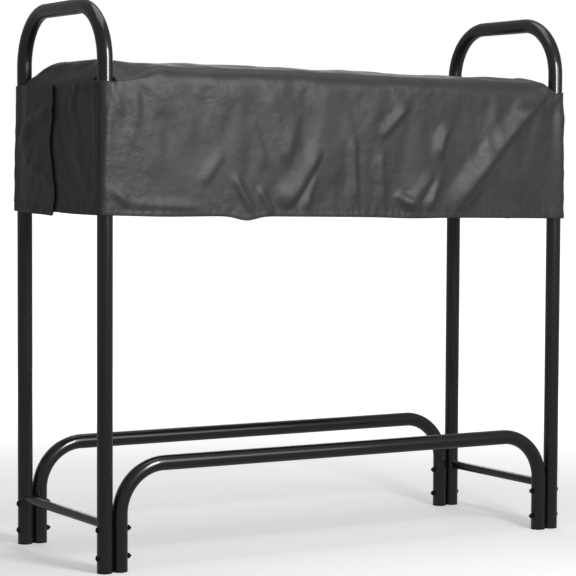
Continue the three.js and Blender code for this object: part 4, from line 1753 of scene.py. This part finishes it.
    def stack_beneath(self, cloth: Cloth) -> list[tuple[Array, Array]]:
        """What the cloth lies on: the stack's uneven outside, a little inside the cloth, and the uprights.

        Args:
            cloth: The cloth as it is laid out.

        Returns:
            Points and faces of each solid.
        """
        x, y, z = cloth.points.T
        gap = (4.2 + 2.6 * ripple(x, z + y, 71, 0.11)) * MM
        _, column = cloth.middle()
        inner = ((column > self.net.side_columns)
                 & (column < self.net.column_count - 1 - self.net.side_columns))
        stack = cloth.part(inner)
        shrunk = (cloth.points - cloth.normals() * np.maximum(gap, 1.6 * MM)[:, None])
        solids = [(Cloth(shrunk, cloth.rows, cloth.columns, cloth.faces).part(inner).points, stack.faces)]
        turn = np.arange(20) * TURN / 20
        for end in End:
            for side in Side:
                radius = self.frame_sizes.tube + 0.3 * MM
                ring = np.stack([end.value * self.net.upright_x + radius * np.cos(turn),
                                 side.value * self.net.upright_y + radius * np.sin(turn)], axis=-1)
                height = np.linspace(0.6, 1.1, 40)
                post = np.concatenate([np.broadcast_to(ring, (40, 20, 2)),
                                       np.broadcast_to(height[:, None, None], (40, 20, 1))], axis=-1)
                patch = Patch(post, close_columns=True)
                solids.append((post.reshape(-1, 3), patch.faces()))
        return solids

    def clear_of_uprights(self, points: Array) -> Array:
        """Points nearer an upright's axis than its tube and the cloth's half thickness are moved straight out."""
        least = self.frame_sizes.tube + self.cloth
        for end in End:
            for side in Side:
                axis = np.array((end.value * self.net.upright_x, side.value * self.net.upright_y))
                away = points[:, :2] - axis
                size = np.linalg.norm(away, axis=1, keepdims=True)
                push = away / np.maximum(size, 1e-9) * np.maximum(least - size, 0.0)
                points[:, :2] += push
        return points


@dataclass(frozen=True)
class Slump:
    """A first slump of the cover's cloth under gravity, with a little slack in the weave.

    It is kept to two frames on purpose. A longer fall buckles differently with the number of processor
    threads, so it wouldn't give one shape on every machine.
    """

    frames: int = 2
    slack: float = 0.007
    cap: float = 7 * MM
    fall: float = 2 * MM
    mass: float = 0.2
    stretch: float = 22.0
    bending: float = 0.9

    def run(self, cloth: Cloth, solids: list[tuple[Array, Array]], held: Array) -> Array:
        """Drop the cloth on the solids.

        Args:
            cloth: The cloth as it is laid out.
            solids: Points and faces of what it falls on.
            held: Which points are held still.

        Returns:
            Where the points are after the last frame.
        """
        piece = make_mesh("slumping", cloth.points, cloth.faces, np.zeros((cloth.faces.size, 2)),
                          180.0, False)
        group = piece.vertex_groups.new(name="held")
        group.add(np.flatnonzero(held).tolist(), 1.0, "REPLACE")
        helpers = [piece]
        for points, faces in solids:
            solid = make_mesh("beneath", points, faces, np.zeros((faces.size, 2)), 180.0, False)
            solid.modifiers.new("contact", "COLLISION")
            solid.collision.thickness_outer = 0.0012
            solid.collision.thickness_inner = 0.02
            solid.collision.cloth_friction = 12.0
            helpers.append(solid)
        modifier = piece.modifiers.new("slump", "CLOTH")
        rules = modifier.settings
        rules.quality = 7
        rules.mass = self.mass
        rules.tension_stiffness = rules.compression_stiffness = self.stretch
        rules.shear_stiffness = self.stretch * 0.5
        rules.bending_stiffness = self.bending
        rules.shrink_min = -self.slack
        rules.vertex_group_mass = "held"
        modifier.collision_settings.use_collision = True
        modifier.collision_settings.distance_min = 0.0012
        modifier.collision_settings.use_self_collision = False
        modifier.point_cache.frame_start = 1
        modifier.point_cache.frame_end = self.frames
        scene = bpy.context.scene
        for frame_number in range(1, self.frames + 1):
            scene.frame_set(frame_number)
        moved = piece.evaluated_get(bpy.context.evaluated_depsgraph_get()).to_mesh()
        points = np.empty(len(moved.vertices) * 3, np.float32)
        moved.vertices.foreach_get("co", points)
        scene.frame_set(1)
        for helper in helpers:
            mesh = helper.data
            bpy.data.objects.remove(helper)
            bpy.data.meshes.remove(mesh)
        return points.reshape(-1, 3).astype(float)


@dataclass(frozen=True)
class Hang:
    """What a piece of the cover rides on: one body, or for a flap the names of two bodies and a hinge line."""

    body: str
    flap: Optional[str] = None
    start: tuple[float, float, float] = (0.0, 0.0, 0.0)
    end: tuple[float, float, float] = (0.0, 0.0, 0.0)

    @classmethod
    def for_flap(cls, end: End, side: Side, sizes: FrameSizes, soft: float = 34 * MM) -> "Hang":
        """A flap's hang: a hinge line that starts at the side of its upright and runs a short way along the flap.
        """
        layer = "inner" if side is Side.FRONT else "outer"
        x, y = end.value * (sizes.upright_x + sizes.tube), side.value * sizes.upright_y
        return cls("cover", f"{name_of(end)}_{layer}_flap", (x, y, 0.85), (x, y - side.value * soft, 0.85))

    def hold(self, piece: bpy.types.Object) -> None:
        """Attach a finished piece to its body; a flap's piece only has its place baked into its mesh."""
        if self.flap is None:
            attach(piece, self.body)
        else:
            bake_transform(piece)


# ---------------------------------------------------------------- studio


@dataclass
class Studio:
    """A pale seamless floor, a white surround that only the camera sees, soft lights and the camera."""

    aim: tuple[float, float, float] = (-0.019, 0.0, 0.5503)
    azimuth: float = -30.857
    elevation: float = 3.302
    roll: float = 0.294
    distance: float = 4.783
    lens: float = 135.895
    sensor: float = 36.0
    surround: float = 40.0

    def build(self) -> None:
        """Set the studio up."""
        bpy.context.scene.view_settings.view_transform = "Standard"
        self.camera()
        self.floor()
        self.backdrop()
        self.world()
        self.softbox("key_softbox", (0.16, -2.25, 1.52), (0.0, -0.1, 0.85), (0.56, 0.95), 33.0)
        self.softbox("fill_softbox", (1.7, -4.4, 2.0), (0.1, 0.0, 0.5), (2.2, 1.6), 19.0)
        self.softbox("top_softbox", (0.1, -0.1, 3.2), (0.0, 0.0, 0.0), (2.4, 1.6), 15.0)
        self.softbox("rear_softbox", (1.4, 3.4, 1.7), (0.0, 0.0, 0.6), (2.4, 1.6), 20.0)

    def camera(self) -> None:
        """The camera, level with the middle of the rack and turned to its left front corner."""
        azimuth, elevation = math.radians(self.azimuth), math.radians(self.elevation)
        back = Vector((math.sin(azimuth) * math.cos(elevation), -math.cos(azimuth) * math.cos(elevation),
                       math.sin(elevation)))
        data = bpy.data.cameras.new("camera")
        data.lens, data.sensor_width = self.lens, self.sensor
        data.clip_start, data.clip_end = 0.1, 200.0
        camera = bpy.data.objects.new("camera", data)
        turn = ((-back).to_track_quat("-Z", "Y").to_matrix()
                @ Matrix.Rotation(math.radians(self.roll), 3, "Z"))
        camera.matrix_world = Matrix.Translation(Vector(self.aim) + back * self.distance) @ turn.to_4x4()
        bpy.context.scene.collection.objects.link(camera)
        bpy.context.scene.camera = camera

    def disc(self, name: str, radii: Array, heights: Array, sides: int = 96) -> bpy.types.Object:
        """A round sheet whose rings have these radii and heights."""
        turn = np.arange(sides) * TURN / sides
        ring = np.stack([np.cos(turn), np.sin(turn)], axis=-1)
        points = np.concatenate([radii[:, None, None] * ring, np.broadcast_to(heights[:, None, None],
                                (len(radii), sides, 1))], axis=-1)
        patch = Patch(points, close_columns=True)
        made = make_mesh(name, points.reshape(-1, 3), patch.faces()[:, ::-1], patch.face_cut(), 180.0, True)
        return made

    def floor(self) -> None:
        """A pale floor that brightens to white far from the rack, and throws no light back at it."""
        radii = np.concatenate([[0.0], np.geomspace(0.5, self.surround, 24)])
        floor = self.disc("studio_floor", radii, np.zeros(len(radii)))
        shader = Shader("studio_floor")
        where = shader.place()
        far = shader.node("ShaderNodeVectorMath", {"operation": "LENGTH"}, {0: where}, out=1).smooth(0.6, 3.2)
        fleck = shader.noise(where, 900.0, 2.0)
        floor.data.materials.append(shader.finish(
            Base_Color=shader.blend(fleck * 0.1, (0.86, 0.86, 0.86), (0.8, 0.8, 0.8)),
            Roughness=0.85,
            Emission_Color=shader.blend(far, (0.34, 0.34, 0.34), (1.0, 1.0, 1.0)),
            Emission_Strength=1.0,
            Specular_IOR_Level=0.1,
        ))
        floor.visible_diffuse = floor.visible_glossy = False

    def backdrop(self) -> None:
        """A white dome that the camera sees and that lights nothing."""
        turn = np.linspace(0.0, math.pi / 2, 24)
        dome = self.disc("studio_dome", self.surround * np.cos(turn), self.surround * np.sin(turn))
        shader = Shader("studio_white")
        dome.data.materials.append(shader.finish(
            Base_Color=(0.0, 0.0, 0.0), Specular_IOR_Level=0.0, Roughness=1.0,
            Emission_Color=(1.0, 1.0, 1.0), Emission_Strength=1.0,
        ))
        dome.visible_diffuse = dome.visible_glossy = dome.visible_shadow = False
        dome.visible_transmission = dome.visible_volume_scatter = False

    def world(self) -> None:
        """An even, dim, pale surround."""
        world = bpy.data.worlds.new("studio")
        world.use_nodes = True
        background = world.node_tree.nodes["Background"]
        background.inputs["Color"].default_value = (1.0, 0.99, 0.94, 1.0)
        background.inputs["Strength"].default_value = 0.2
        bpy.context.scene.world = world

    def softbox(self, name: str, place: Colour, aim: Colour, size: tuple[float, float], power: float) -> None:
        """A rectangular light that faces its aim."""
        data = bpy.data.lights.new(name, "AREA")
        data.shape = "RECTANGLE"
        data.size, data.size_y = size
        data.energy = power
        light = bpy.data.objects.new(name, data)
        light.location = place
        light.rotation_euler = (Vector(aim) - Vector(place)).to_track_quat("-Z", "Y").to_euler()
        bpy.context.scene.collection.objects.link(light)


def main() -> None:
    """Build the studio, the frame and the cover."""
    logging.basicConfig(level=logging.INFO, format="%(name)s: %(message)s")
    sizes = FrameSizes.read()
    Studio().build()
    zinc = Dress(BlackZinc().material(), "black_fastener")
    coat = Dress(PowderCoat().material(), "powder_coated_tube")
    plastic = Dress(MouldedPlastic().material(), "end_plug")
    fabric = Dress(CoatedFabric().material(), "cover_fabric")
    thread = Dress(SewingThread().material(), "cover_fabric")
    loop = Dress(ClosureTape().material(), "closure_tape")
    hook = Dress(ClosureTape(rows=True).material(), "closure_tape")
    SteelFrame(sizes, coat, zinc, plastic).build()
    Cover(sizes, fabric, thread, loop, hook).build()
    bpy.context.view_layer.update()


if __name__ == "__main__":
    main()
